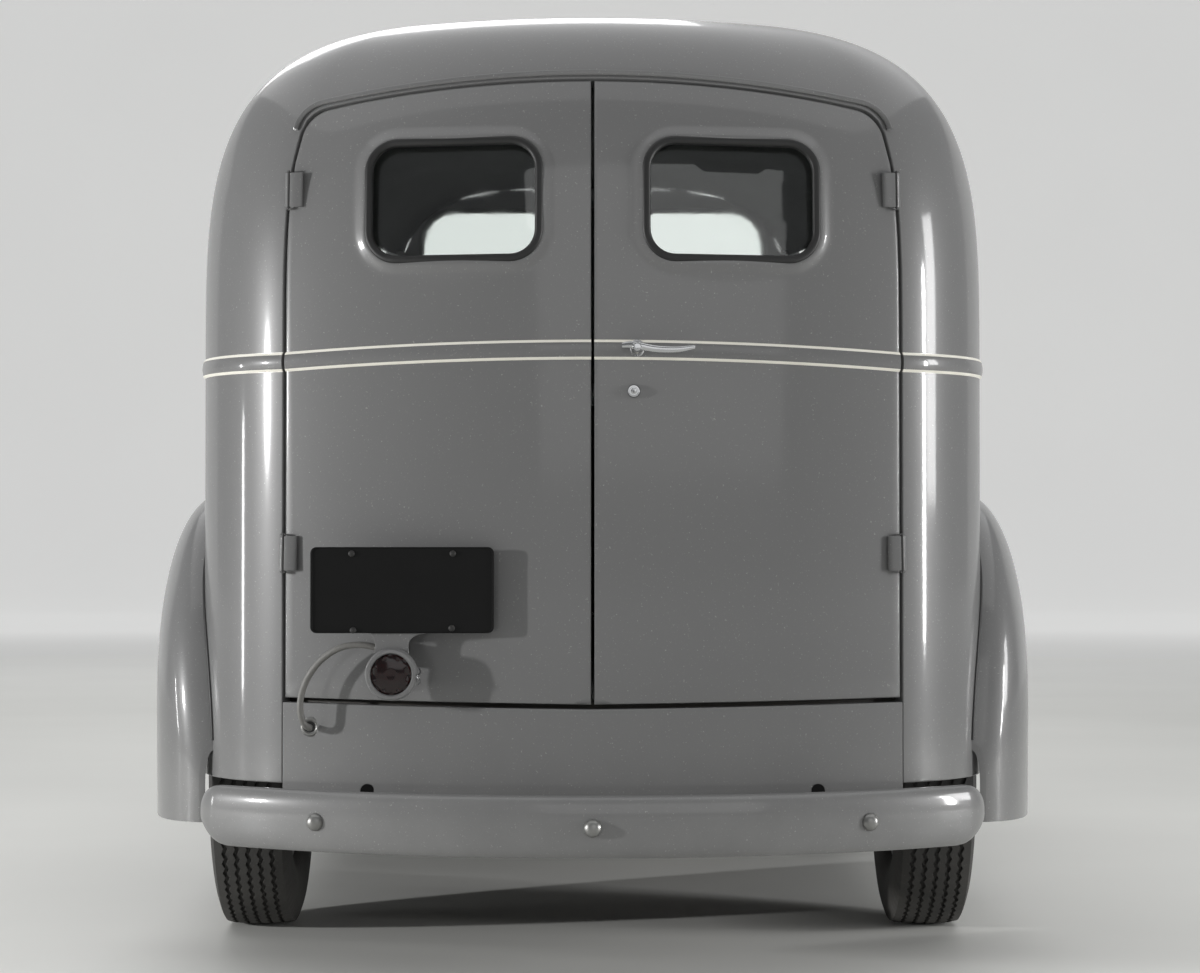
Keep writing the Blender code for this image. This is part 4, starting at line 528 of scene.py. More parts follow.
def dress(
    piece: bpy.types.Object,
    body: str,
    finish: Finish | ClearGlass,
    replaces: Sequence[str] = (),
    lining: Finish | None = None,
    bevel: float = 0.0,
    sharp: float = 38.0,
    weld: float = 2e-5,
    open_sheet: bool = False,
) -> bpy.types.Object:
    """Welds and smooths a piece, gives it its finish and lets it ride on its body.

    Args:
        piece: New object, in place in the frame's metres.
        body: Body that it moves with.
        finish: Finish of its outer faces.
        replaces: CAD nodes that it stands for.
        lining: Finish of the faces with material number 1.
        bevel: Width of the rounded edges, 0 for none.
        sharp: Angle in degrees past which an edge shades sharp.
        weld: Distance under which points merge.
        open_sheet: The mesh is one open sheet, turned so that its topmost face looks up.

    Returns:
        The same object.
    """
    mesh = piece.data
    work = bmesh.new()
    work.from_mesh(mesh)
    bmesh.ops.remove_doubles(work, verts=work.verts, dist=weld)
    bmesh.ops.dissolve_degenerate(work, dist=weld / 2, edges=work.edges)
    bmesh.ops.recalc_face_normals(work, faces=work.faces)
    if open_sheet and max(work.faces, key=lambda face: face.calc_center_median().z).normal.z < 0:
        bmesh.ops.reverse_faces(work, faces=work.faces)
    work.to_mesh(mesh)
    work.free()
    mesh.polygons.foreach_set("use_smooth", np.ones(len(mesh.polygons), bool))
    mesh.materials.clear()
    mesh.materials.append(finish.material())
    mesh.materials.append((lining or finish).material())
    if bevel > 0:
        edge = piece.modifiers.new("rounded_edges", "BEVEL")
        edge.width = bevel
        edge.segments = 3
        edge.limit_method = "ANGLE"
        edge.angle_limit = math.radians(sharp)
        edge.harden_normals = True
        edge.use_clamp_overlap = True
    else:
        mesh.set_sharp_from_angle(angle=math.radians(sharp))
    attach(piece, body)
    if replaces:
        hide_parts(*replaces)
    log.info("%s on %s, %d faces, %s", piece.name, body, len(mesh.polygons), finish.name)
    return piece


def smooth_copy(node: str, body: str, finish: Finish, bevel: float = 0.0,
                sharp: float = 38.0) -> bpy.types.Object:
    """Copy of a CAD node with its triangles merged and its round faces shaded smooth."""
    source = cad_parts[node]
    piece = bpy.data.objects.new(node + "_skin", source.data.copy())
    bpy.context.scene.collection.objects.link(piece)
    piece.data.polygons.foreach_set("material_index", np.zeros(len(piece.data.polygons), np.int32))
    return dress(piece, body, finish, (node,), bevel=bevel, sharp=sharp, weld=1e-4)


# The loaf-shaped body


@dataclass
class Loaf:
    """Form of the body: a plan outline with a bowed rear that is drawn in toward the roof's ridge."""

    half_width: float = 0.800
    wall: float = 0.030
    door_y: float = -2.248
    base_z: float = 1.200
    ridge: float = 0.750
    power: float = 3.75
    roof_draw: float = 0.800
    bow_sag: float = 0.135
    door_half: float = 0.607
    narrow_y: float = -0.400
    cowl_y: float = 0.800
    narrowing: float = 0.240
    roof_fall: float = 0.075

    def __post_init__(self) -> None:
        """Works out the arcs of the plan outline."""
        self.bow = (self.door_half**2 + self.bow_sag**2) / (2 * self.bow_sag)
        self.edge = math.asin(self.door_half / self.bow)
        self.corner = (self.half_width - self.door_half) / (1 - math.sin(self.edge))
        self.corner_y = self.door_y + self.bow - (self.bow - self.corner) * math.cos(self.edge)
        self.spine = self.door_y + self.roof_draw

    def side_width(self, y: Array) -> Array:
        """Half-width at a station: it loses the narrowing times the share toward the cowl to the 1.5."""
        share = np.clip((np.asarray(y, float) - self.narrow_y) / (self.cowl_y - self.narrow_y), 0, None)
        return self.half_width - self.narrowing * share**1.5

    def plan(self, t: Array, inset: float = 0.0) -> tuple[Array, Array, Array, Array]:
        """Plan outline: t from 0 to 1 runs along the bow, to 2 round the corner, to 3 along the side.

        Args:
            t: Places along the outline.
            inset: Distance inside the skin.

        Returns:
            X, Y and the outward normal's X and Y.
        """
        t = np.asarray(t, float)
        angle = np.where(t <= 1, t * self.edge,
                         self.edge + (np.clip(t, 1, 2) - 1) * (math.pi / 2 - self.edge))
        sin, cos = np.sin(angle), np.cos(angle)
        along = self.corner_y + np.clip(t - 2, 0, 1) * (self.cowl_y - self.corner_y)
        straight = self.half_width - self.corner
        x = np.where(t <= 1, (self.bow - inset) * sin, straight + (self.corner - inset) * sin)
        y = np.where(t <= 1, self.door_y + self.bow - (self.bow - inset) * cos,
                     self.corner_y - (self.corner - inset) * cos)
        side = t > 2
        return np.where(side, self.side_width(along) - inset, x), np.where(side, along, y), sin, -cos

    def plan_t(self, y: float) -> float:
        """Place on the outline's straight side at a station."""
        return 2 + (y - self.corner_y) / (self.cowl_y - self.corner_y)

    def ridge_height(self, y: Array) -> Array:
        """Height of the ridge above the base: it falls by a square law toward the windshield."""
        return self.ridge - self.roof_fall * np.clip((np.asarray(y, float) + 1.0) / 1.8, 0, None) ** 2

    def draw(self, z: Array, y: Array = -2.0, inset: float = 0.0) -> Array:
        """Share of the plan left at a height: (1 - rise ** power) ** (1 / power)."""
        rise = np.clip((np.asarray(z, float) - self.base_z) / (self.ridge_height(y) - inset), 0, 1)
        return (1 - rise**self.power) ** (1 / self.power)

    def at(self, t: Array, z: Array, inset: float = 0.0, proud: Array = 0.0) -> Array:
        """Points of the skin at places along the plan and heights, pushed out along the plan's normal."""
        x, y, nx, ny = self.plan(t, inset)
        x, y = x + proud * nx, y + proud * ny
        share = self.draw(z, y, inset)
        y = np.where(y < self.spine, self.spine + (y - self.spine) * share, y)
        return joined(x * share, y, np.asarray(z, float))

    def over(self, t: Array, angle: Array, inset: float = 0.0) -> Array:
        """Points over the roof: the share is cos(angle) and the rise sin(angle), both to 2 / power."""
        x, y, _, _ = self.plan(t, inset)
        share = np.clip(np.cos(angle), 0, 1) ** (2 / self.power)
        y = np.where(y < self.spine, self.spine + (y - self.spine) * share, y)
        z = self.base_z + (self.ridge_height(y) - inset) * np.sin(angle) ** (2 / self.power)
        return joined(x * share, y, z)

    def rear(self, x: Array, z: Array, depth: Array = 0.0) -> Array:
        """Points of the bowed rear behind a place in X and Z, moved forward by a depth."""
        share = self.draw(z)
        flat_x = np.clip(np.abs(x) / share, 0, self.bow * 0.9)
        y = self.door_y + self.bow - np.sqrt(self.bow**2 - flat_x**2)
        y = self.spine + (y - self.spine) * share + depth
        return joined(x, y, z)

    def side(self, y: Array, z: Array, depth: Array = 0.0) -> Array:
        """Points of the right side at a station and height, moved inward by a depth."""
        return joined(self.side_width(y) * self.draw(z, y) - depth, y, z)


LOAF = Loaf()


@dataclass
class Openings:
    """Outlines of the doors and windows, as flat loops."""

    gap: float = 0.006
    door_low: float = 0.538
    door_top: float = 1.757
    top_fall: float = 0.160
    door_corner: float = 0.070
    window: tuple[float, float, float, float] = (0.270, 1.516, 0.330, 0.228)
    window_corner: float = 0.055
    cab_front: float = 0.600
    cab_rear: float = -0.330
    cab_low: float = 0.440
    cab_top: float = 1.676
    drip_z: float = 1.690
    sill_z: float = 0.395
    corner_low: float = 0.380
    apron_low: float = 0.345
    sill_front: float = 0.510

    def top_z(self, x: Array, grow: float) -> Array:
        """Top of the rear doors: the middle height less the fall times x squared."""
        return self.door_top - self.top_fall * np.asarray(x) ** 2 + grow

    def rear_door(self, grow: float, middle: float) -> Array:
        """Right rear door in X and Z, from the bottom at the middle round by the hinge edge."""
        half = LOAF.door_half + grow
        heights = np.linspace(LOAF.base_z, 1.60, 12)
        top_z = self.door_top - self.top_fall * LOAF.door_half**2 * 0.88 + grow
        tops = np.linspace(0.46, middle, 10)
        edge = np.stack([half * LOAF.draw(heights), heights], 1)
        corner = (float(half * LOAF.draw(top_z - grow)), top_z)
        bend = rounded_loop([edge[-1], corner, (tops[0], float(self.top_z(tops[0], grow)))],
                            [0, self.door_corner, 0], 12)[1:-1]
        low = [(middle, self.door_low - grow), (half, self.door_low + 0.007 - grow)]
        return np.concatenate([low, edge, bend, np.stack([tops, self.top_z(tops, grow)], 1)])

    def rear_window(self, grow: float) -> Array:
        """Right rear window in X and Z."""
        x, z, width, height = self.window
        a, b = width / 2 + grow, height / 2 + grow
        return rounded_loop([(x - a, z - b), (x + a, z - b), (x + a, z + b), (x - a, z + b)],
                            [self.window_corner + grow] * 4, 10)

    def cab_front_y(self, z: float) -> float:
        """Front edge of the cab door, which leans with the windshield above the belt."""
        return min(self.cab_front, windshield_y(z) - 0.075)

    def cab_door(self, grow: float) -> Array:
        """Cab door in Y and Z."""
        front, rear = self.cab_front + grow, self.cab_rear - grow
        low, top = self.cab_low - grow, self.cab_top + grow
        corners = [(rear, low), (front, low), (front, 1.290), (self.cab_front_y(self.cab_top) + grow, top),
                   (rear, top)]
        return rounded_loop(corners, [0.05, 0.05, 0, 0.07, 0.09], 8)

    def cab_window(self, grow: float) -> Array:
        """Cab door window in Y and Z."""
        front = self.cab_front - 0.060 + grow
        high = self.cab_front_y(1.610) - 0.060 + grow
        corners = [(-0.240 - grow, 1.262 - grow), (front, 1.262 - grow), (high, 1.610 + grow),
                   (-0.240 - grow, 1.610 + grow)]
        return rounded_loop(corners, [0.045 + grow] * 4, 10)


OPENINGS = Openings()


def ring_panel(
    name: str,
    inner: Callable[[float], Array],
    outer: Callable[[float], Array],
    centre: Sequence[float],
    lift: Callable[[Array, Array, Array], Array],
    swell: Sequence[tuple[float, float]],
    wall: float,
    mirror: bool,
) -> bpy.types.Object:
    """Panel with a window, as rings of points that go round the window's edge and the panel's edge.

    Rays from the window's centre meet the window's outline and the panel's outline. A ring lies at a
    share of the way between them, and the lift puts its flat points on the curved skin at a depth.

    Args:
        name: Name of the piece.
        inner: Window's outline grown by a distance.
        outer: Panel's outline shrunk by a distance.
        centre: Centre of the window, flat.
        lift: Puts flat points on the skin, given both coordinates and a depth.
        swell: Pressed surround as (distance from the window's edge, depth) pairs.
        wall: Thickness of the panel.
        mirror: Makes the left panel.

    Returns:
        The new object.
    """
    centre = np.asarray(centre, float)
    base, hole = outer(0.0), inner(0.0)
    marks = np.concatenate([base, hole[::2]]) - centre
    angles = np.sort(np.concatenate([np.linspace(-math.pi, math.pi, 160, endpoint=False),
                                     np.arctan2(marks[:, 1], marks[:, 0])]))
    angles = angles[np.concatenate([[True], np.diff(angles) > 4e-4])]
    rings = [(inner(0.0), wall), (inner(0.0), 0.002), (inner(0.002), swell[0][1])]
    rings += [(inner(d), depth) for d, depth in swell]
    flats = [(star(loop, centre, angles), depth) for loop, depth in rings]
    near, far = star(inner(swell[-1][0]), centre, angles), star(outer(0.004), centre, angles)
    flats += [(near + (far - near) * s, 0.0) for s in np.linspace(0, 1, 22)[1:]]
    rim = star(outer(0.0), centre, angles)
    flats += [(rim + (far - rim) * 0.35, 0.0008), (rim, 0.004), (rim, wall)]
    inside = [(near + (far - near) * s, wall) for s in np.linspace(1, 0, 10)]
    flats += inside
    flat = np.stack([f for f, _ in flats])
    depth = np.array([d for _, d in flats])[:, None]
    grid = lift(flat[..., 0], flat[..., 1], depth) * ((-1, 1, 1) if mirror else (1, 1, 1))
    made = tube(name, grid, wrap_rows=True)
    columns = grid.shape[1]
    numbers = np.zeros(len(made.data.polygons), np.int32)
    numbers[(len(flats) - len(inside)) * columns:] = 1
    made.data.polygons.foreach_set("material_index", numbers)
    return made


def pane(name: str, loop: Array, lift: Callable[[Array, Array, Array], Array], depth: float,
         side: int) -> bpy.types.Object:
    """Glass pane: rings of points from near its middle out to an outline, on both faces.

    Args:
        name: Name of the piece.
        loop: Flat outline.
        lift: Puts flat points on the skin, given both coordinates and a depth.
        depth: Depth of the outer face.
        side: 1 as it is, -1 mirrored.

    Returns:
        The new object.
    """
    middle = (loop.max(0) + loop.min(0)) / 2
    share = np.linspace(0.04, 1, 14)[:, None, None]
    flat = middle + (loop - middle) * share
    front = lift(flat[..., 0], flat[..., 1], depth)
    back = lift(flat[::-1, :, 0], flat[::-1, :, 1], depth + 0.0050)
    return tube(name, np.concatenate([front, back]) * (side, 1, 1))


@dataclass
class Belt:
    """Raised belt moulding round the body, edged above and below by a coach stripe."""

    low: float = 1.189
    height: float = 0.036
    arch: float = 0.016
    proud: float = 0.0062
    stripe: float = 0.0052

    def low_z(self, t: Array) -> Array:
        """Lower edge: it arches up by a square law toward the middle of the rear."""
        x, _, _, _ = LOAF.plan(t)
        return self.low + self.arch * np.clip(1 - (x / LOAF.door_half) ** 2, 0, None) * (np.asarray(t) < 1.01)

    def strip(self, name: str, side: int, t: Array, low: float, high: float,
              out: Callable[[Array], Array]) -> bpy.types.Object:
        """Strip along the skin between two heights above the belt's lower edge.

        Args:
            name: Name of the piece.
            side: 1 for the right, -1 for the left.
            t: Places along the plan.
            low: Lowest height above the belt's lower edge.
            high: Highest height.
            out: Distance outside the skin for shares from 0 to 1 across the strip.

        Returns:
            The new object.
        """
        share = np.concatenate([np.linspace(0, 1, 13), [1, 0]])
        push = np.concatenate([out(share[:13]), [-0.002, -0.002]])
        z = self.low_z(t)[:, None] + low + (high - low) * share[None]
        return tube(name, LOAF.at(t[:, None], z, 0.0, push[None]) * (side, 1, 1))

    def build(self, name: str, side: int, t_low: float, t_high: float, body: str) -> None:
        """Makes the moulding and its two stripes along a span of the body."""
        t = np.linspace(t_low, t_high, max(6, int(abs(t_high - t_low) * 34)))
        rise = self.proud
        band = self.strip(f"belt_{name}", side, t, 0.0, self.height,
                          lambda s: rise * np.clip(np.sin(math.pi * s), 0, 1) ** 0.45)
        dress(band, body, BODY_ENAMEL)
        for word, low in (("low", -0.0012), ("high", self.height - self.stripe + 0.0012)):
            def lift(s: Array, low: float = low) -> Array:
                """Stripe's height over the body, a hair over the belt's."""
                share = np.clip((low + self.stripe * s) / self.height, 0, 1)
                return 0.0006 + rise * np.clip(np.sin(math.pi * share), 0, 1) ** 0.45

            line = self.strip(f"stripe_{word}_{name}", side, t, low, low + self.stripe, lift)
            dress(line, body, STRIPE_ENAMEL)


@dataclass
class Shell:
    """Fixed shell: side panels with their rear corners, roof, apron, cowl and drip mouldings."""

    arch_y: float = REAR_AXLE_Y
    arch_z: float = TYRE_RADIUS
    arch: float = 0.420
    columns: int = 90
    belt: Belt = None

    def door_edge(self, z: Array) -> Array:
        """Place on the plan of the rear door's gap at a height, along its side and round its corner."""
        loop = OPENINGS.rear_door(OPENINGS.gap / 2, 0.0)
        edge = loop[1:]
        order = np.argsort(edge[:, 1])
        x = np.interp(z, edge[order, 1], edge[order, 0])
        x = np.where(z < edge[0, 1], LOAF.door_half + OPENINGS.gap / 2, x)
        return self.t_of(x / LOAF.draw(z))

    def t_of(self, x: Array) -> Array:
        """Place on the plan whose distance from the middle is x, near the bow and the corner."""
        t = np.linspace(0, 1.6, 400)
        return np.interp(x, LOAF.plan(t)[0], t)

    def cab_edge(self, z: Array) -> Array:
        """Place on the plan of the cab door's rear gap at a height, with its rounded corners."""
        loop = OPENINGS.cab_door(OPENINGS.gap)
        rear = loop[loop[:, 0] < OPENINGS.cab_rear + 0.1]
        order = np.argsort(rear[:, 1], kind="stable")
        y = np.interp(z, rear[order, 1], rear[order, 0])
        return 2 + (y - LOAF.corner_y) / (LOAF.cowl_y - LOAF.corner_y)

    def side_grid(self) -> tuple[Array, Array]:
        """Right side from the rear door's gap to the cab door's; its lower edge follows the arch.

        Returns:
            Points, and the places along the plan of the top row.
        """
        u, v = np.linspace(0, 1, self.columns)[None], np.linspace(0, 1, 52)[:, None]
        z = OPENINGS.corner_low + (OPENINGS.drip_z - OPENINGS.corner_low) * v
        start, stop = self.door_edge(z), self.cab_edge(z)
        t = start + (stop - start) * u
        y = LOAF.plan(t)[1]
        low = np.where(y < self.arch_y, OPENINGS.corner_low, OPENINGS.sill_z)
        reach = np.clip(self.arch**2 - (y - self.arch_y) ** 2, 0, None)
        low = np.maximum(low, np.where(reach > 0, self.arch_z + np.sqrt(reach), 0))
        return LOAF.at(t, low + (OPENINGS.drip_z - low) * v), t[-1]

    def roof_grid(self, shared: Array) -> Array:
        """Right half of the roof, from the tops of the rear doors and the drip rail to the ridge.

        The columns over the side panel stand on its top row. Ahead of it they are spread between
        that row's end and the windshield's head, which leans back with height.

        Args:
            shared: Places along the plan of the side panel's top row.

        Returns:
            Points from the drip rail to the ridge.
        """
        t = np.concatenate([np.linspace(0, shared[0], 60)[:-1], shared, np.linspace(shared[-1], 3, 50)[1:]])
        ahead = np.clip((t - shared[-1]) / (3 - shared[-1]), 0, 1)
        loop = OPENINGS.rear_door(OPENINGS.gap / 2, 0.0)[1:]
        loop = loop[loop[:, 1] > OPENINGS.drip_z - 0.08]
        order = np.argsort(loop[:, 0], kind="stable")
        low_z = np.full_like(t, OPENINGS.drip_z)
        for _ in range(30):
            x = LOAF.plan(t)[0] * LOAF.draw(low_z)
            top = np.interp(x, loop[order, 0], loop[order, 1])
            low_z = np.where(t < shared[0], low_z * 0.5 + 0.5 * np.maximum(top, OPENINGS.drip_z),
                             OPENINGS.drip_z)
        rise = np.clip((low_z - LOAF.base_z) / LOAF.ridge_height(LOAF.plan(t)[1]), 0, 0.9999)
        start = np.arcsin(rise ** (LOAF.power / 2))
        angle = start + (math.pi / 2 - start) * np.linspace(0, 1, 44)[:, None]
        grid = LOAF.over(np.broadcast_to(t, angle.shape), angle)
        y_last = LOAF.plan(shared[-1:])[1]
        for _ in range(4):
            limit = np.minimum(windshield_y(grid[..., 2]), 0.567)
            y = np.where(ahead > 0, y_last + ahead * (limit - y_last), LOAF.plan(t)[1])
            place = np.where(ahead > 0, 2 + (y - LOAF.corner_y) / (LOAF.cowl_y - LOAF.corner_y), t)
            rise = np.clip((low_z - LOAF.base_z) / LOAF.ridge_height(y[0]), 0, 0.9999)
            start = np.arcsin(rise ** (LOAF.power / 2))
            angle = start + (math.pi / 2 - start) * np.linspace(0, 1, 44)[:, None]
            grid = LOAF.over(place, angle)
        return grid

    def skin(self) -> None:
        """Sides and roof in one sheet, thickened inward, with the sills and drip rails on it."""
        side_points, shared = self.side_grid()
        roof_points = self.roof_grid(shared)
        grids = [g * (side, 1, 1) for side, _ in SIDES for g in (side_points, roof_points)]
        quads, start = [], 0
        for grid in grids:
            quads.append(grid_faces(*grid.shape[:2], False, False, start))
            start += grid.shape[0] * grid.shape[1]
        points = np.concatenate([g.reshape(-1, 3) for g in grids])
        made = bpy.data.objects.new("loaf_skin", build_mesh("loaf_skin", points, np.concatenate(quads)))
        bpy.context.scene.collection.objects.link(made)
        thick = made.modifiers.new("sheet_thickness", "SOLIDIFY")
        thick.thickness, thick.offset, thick.material_offset = LOAF.wall, -1.0, 1
        # The inner faces take the near-black lining, painted shade of the dim load space.
        dress(made, "van", BODY_ENAMEL, ("body_side_left", "body_side_right", "roof"), LINING_PAINTED_SHADE,
              bevel=0.0025, weld=1e-4, open_sheet=True)
        for side, word in SIDES:
            stop = float(self.cab_edge(np.array(1.2)))
            self.belt.build(f"side_{word}", side, float(self.door_edge(np.array(1.21))), stop, "van")
            seam = np.linspace(2.03, LOAF.plan_t(0.44), 90)
            gutter = LOAF.at(seam, np.full_like(seam, OPENINGS.drip_z), 0.0, 0.006) * (side, 1, 1)
            dress(sweep(f"drip_rail_{word}", gutter, soft_section(0.016, 0.010)), "van", BODY_ENAMEL)
            t = np.linspace(float(self.cab_edge(np.array(0.41))), LOAF.plan_t(OPENINGS.sill_front), 40)
            z = np.linspace(OPENINGS.sill_z, OPENINGS.cab_low - OPENINGS.gap, 5)[:, None]
            sill = slab(f"sill_{word}", LOAF.at(t, z) * (side, 1, 1), LOAF.at(t, z, LOAF.wall) * (side, 1, 1))
            dress(sill, "van", BODY_ENAMEL, bevel=0.002)

    def apron(self) -> None:
        """Apron below the rear doors, with the lamp cable's grommet and two black discs painted as the shade
        of two small bolt holes.
        """
        half = float(self.t_of(np.array(LOAF.door_half + OPENINGS.gap / 2 - 0.0003)))
        t = np.linspace(-half, half, 70)
        x = LOAF.plan(np.abs(t))[0] * np.sign(t)
        top = OPENINGS.door_low - OPENINGS.gap + 0.007 * np.abs(x) / LOAF.door_half
        v = np.linspace(0, 1, 12)[:, None]
        flip = np.stack([np.where(t < 0, -1.0, 1.0), np.ones_like(t), np.ones_like(t)], 1)

        def points(inset: float) -> Array:
            """Points of the apron at a distance inside its skin."""
            return LOAF.at(np.abs(t)[None], OPENINGS.apron_low + (top - OPENINGS.apron_low) * v, inset) * flip

        panel = slab("apron_skin", points(0.0), points(LOAF.wall))
        # The apron's inner face takes the near-black lining, painted shade.
        dress(panel, "van", BODY_ENAMEL, ("rear_apron",), LINING_PAINTED_SHADE, bevel=0.0025)
        gx, gz = -0.552, 0.492
        y = float(LOAF.rear(np.array(gx), np.array(gz))[1])
        angle = full_turn(40)
        ring = np.stack([gx + 0.0145 * np.cos(angle), np.full(40, y - 0.001), gz + 0.0145 * np.sin(angle)], 1)
        dress(sweep("cable_grommet", ring, disc_section(0.0048, 12), (0, 1, 0), True), "van", DULL_PLATE)
        dress(turned("grommet_web", [(-0.004, 0), (-0.004, 0.012), (0.002, 0.012), (0.002, 0)], (gx, y, gz),
                     1, 24), "van", GASKET_RUBBER)
        for side, word in SIDES:
            hx, hz = side * 0.437, 0.386
            profile = [(-0.0040, 0), (-0.0040, 0.0135), (0.004, 0.0145), (0.004, 0)]
            place = (hx, float(LOAF.rear(np.array(hx), np.array(0.4))[1]), hz - 0.016)
            # Black disc at each bolt hole: painted shade for the hole's dark hollow.
            hole = turned(f"apron_hole_painted_shade_{word}", profile, place, 1, 28)
            dress(hole, "van", PLATE_ENAMEL)

    def header(self) -> None:
        """Drip moulding over the rear doors, which follows their top edge and turns down at the corners."""
        loop = OPENINGS.rear_door(0.014, 0.0)
        line = loop[loop[:, 1] > 1.655]
        line = np.concatenate([line, line[::-1][1:] * (-1, 1)])
        path = LOAF.rear(line[:, 0], line[:, 1], -0.004)
        way = np.concatenate([[0], np.cumsum(np.linalg.norm(np.diff(path, axis=0), axis=1))])
        spots = np.linspace(0, way[-1], 90)
        path = np.stack([np.interp(spots, way, path[:, i]) for i in range(3)], 1)
        dress(sweep("rear_drip_moulding", path, soft_section(0.011, 0.010), (0, 1, 0)), "van", BODY_ENAMEL)

    def build(self) -> None:
        """Makes the whole shell."""
        self.belt = Belt()
        self.skin()
        self.apron()
        self.header()
        smooth_copy("cowl", "van", BODY_ENAMEL, bevel=0.002)
        for side, word in SIDES:
            self.belt.build(f"cowl_{word}", side, LOAF.plan_t(OPENINGS.cab_front + OPENINGS.gap), 3.0, "van")


@dataclass
class Hinge:
    """Folded sheet hinge: a bulged strap on the door over a pin, whose ends sit in the body's brackets."""

    length: float = 0.068
    strap: tuple[tuple[float, float], ...] = ((-8.0, -8.5), (-8.5, -5.5), (-7.0, -2.5), (-3.0, 1.5),
                                              (3.0, 4.6), (10.0, 6.8), (18.0, 8.0), (25.0, 8.2),
                                              (28.0, 6.5), (28.3, -13.5), (28.3, -17.0), (7.0, -15.5),
                                              (7.0, -8.5))

    def build(self, name: str, point: Vector, along: Vector, way: Vector, inward: Vector, door: str,
              body: str) -> None:
        """Makes the strap and the pin with its brackets.

        Args:
            name: Start of the pieces' names.
            point: Middle of the pin.
            along: Direction of the pin.
            way: Direction from the pin across the door.
            inward: Direction into the body.
            door: Body that the strap rides on.
            body: Body of the pin and brackets.
        """
        section = np.array(self.strap) / 1000
        flat = section[:, :1] * np.array(way) - section[:, 1:] * np.array(inward)
        ends = np.array([-0.5, -0.47, 0.47, 0.5])[:, None] * self.length * np.array(along) + np.array(point)
        dress(tube(f"{name}_strap", ends[:, None] + flat[None]), door, BODY_ENAMEL,
              bevel=0.0012, sharp=40)
        path = np.linspace(-0.56, 0.56, 4)[:, None] * self.length * np.array(along) + np.array(
            point) - np.array(inward) * 0.001
        dress(sweep(f"{name}_pin", path, disc_section(0.0034, 16), way), body, CHASSIS_PAINT)
        for word, place in (("low", -0.545), ("high", 0.545)):
            middle = np.array(point) + place * self.length * np.array(along)
            flat = np.array([(-6.0, 4.0), (4.0, 4.0), (4.0, -4.0), (-2.0, -18.0), (-6.0, -18.0)]) / 1000
            ring = flat[:, :1] * np.array(way) - flat[:, 1:] * np.array(inward)
            block = np.stack([middle + ring - np.array(along) * 0.0016,
                              middle + ring + np.array(along) * 0.0016])
            dress(tube(f"{name}_{word}_bracket", block), body, BODY_ENAMEL, bevel=0.0006)


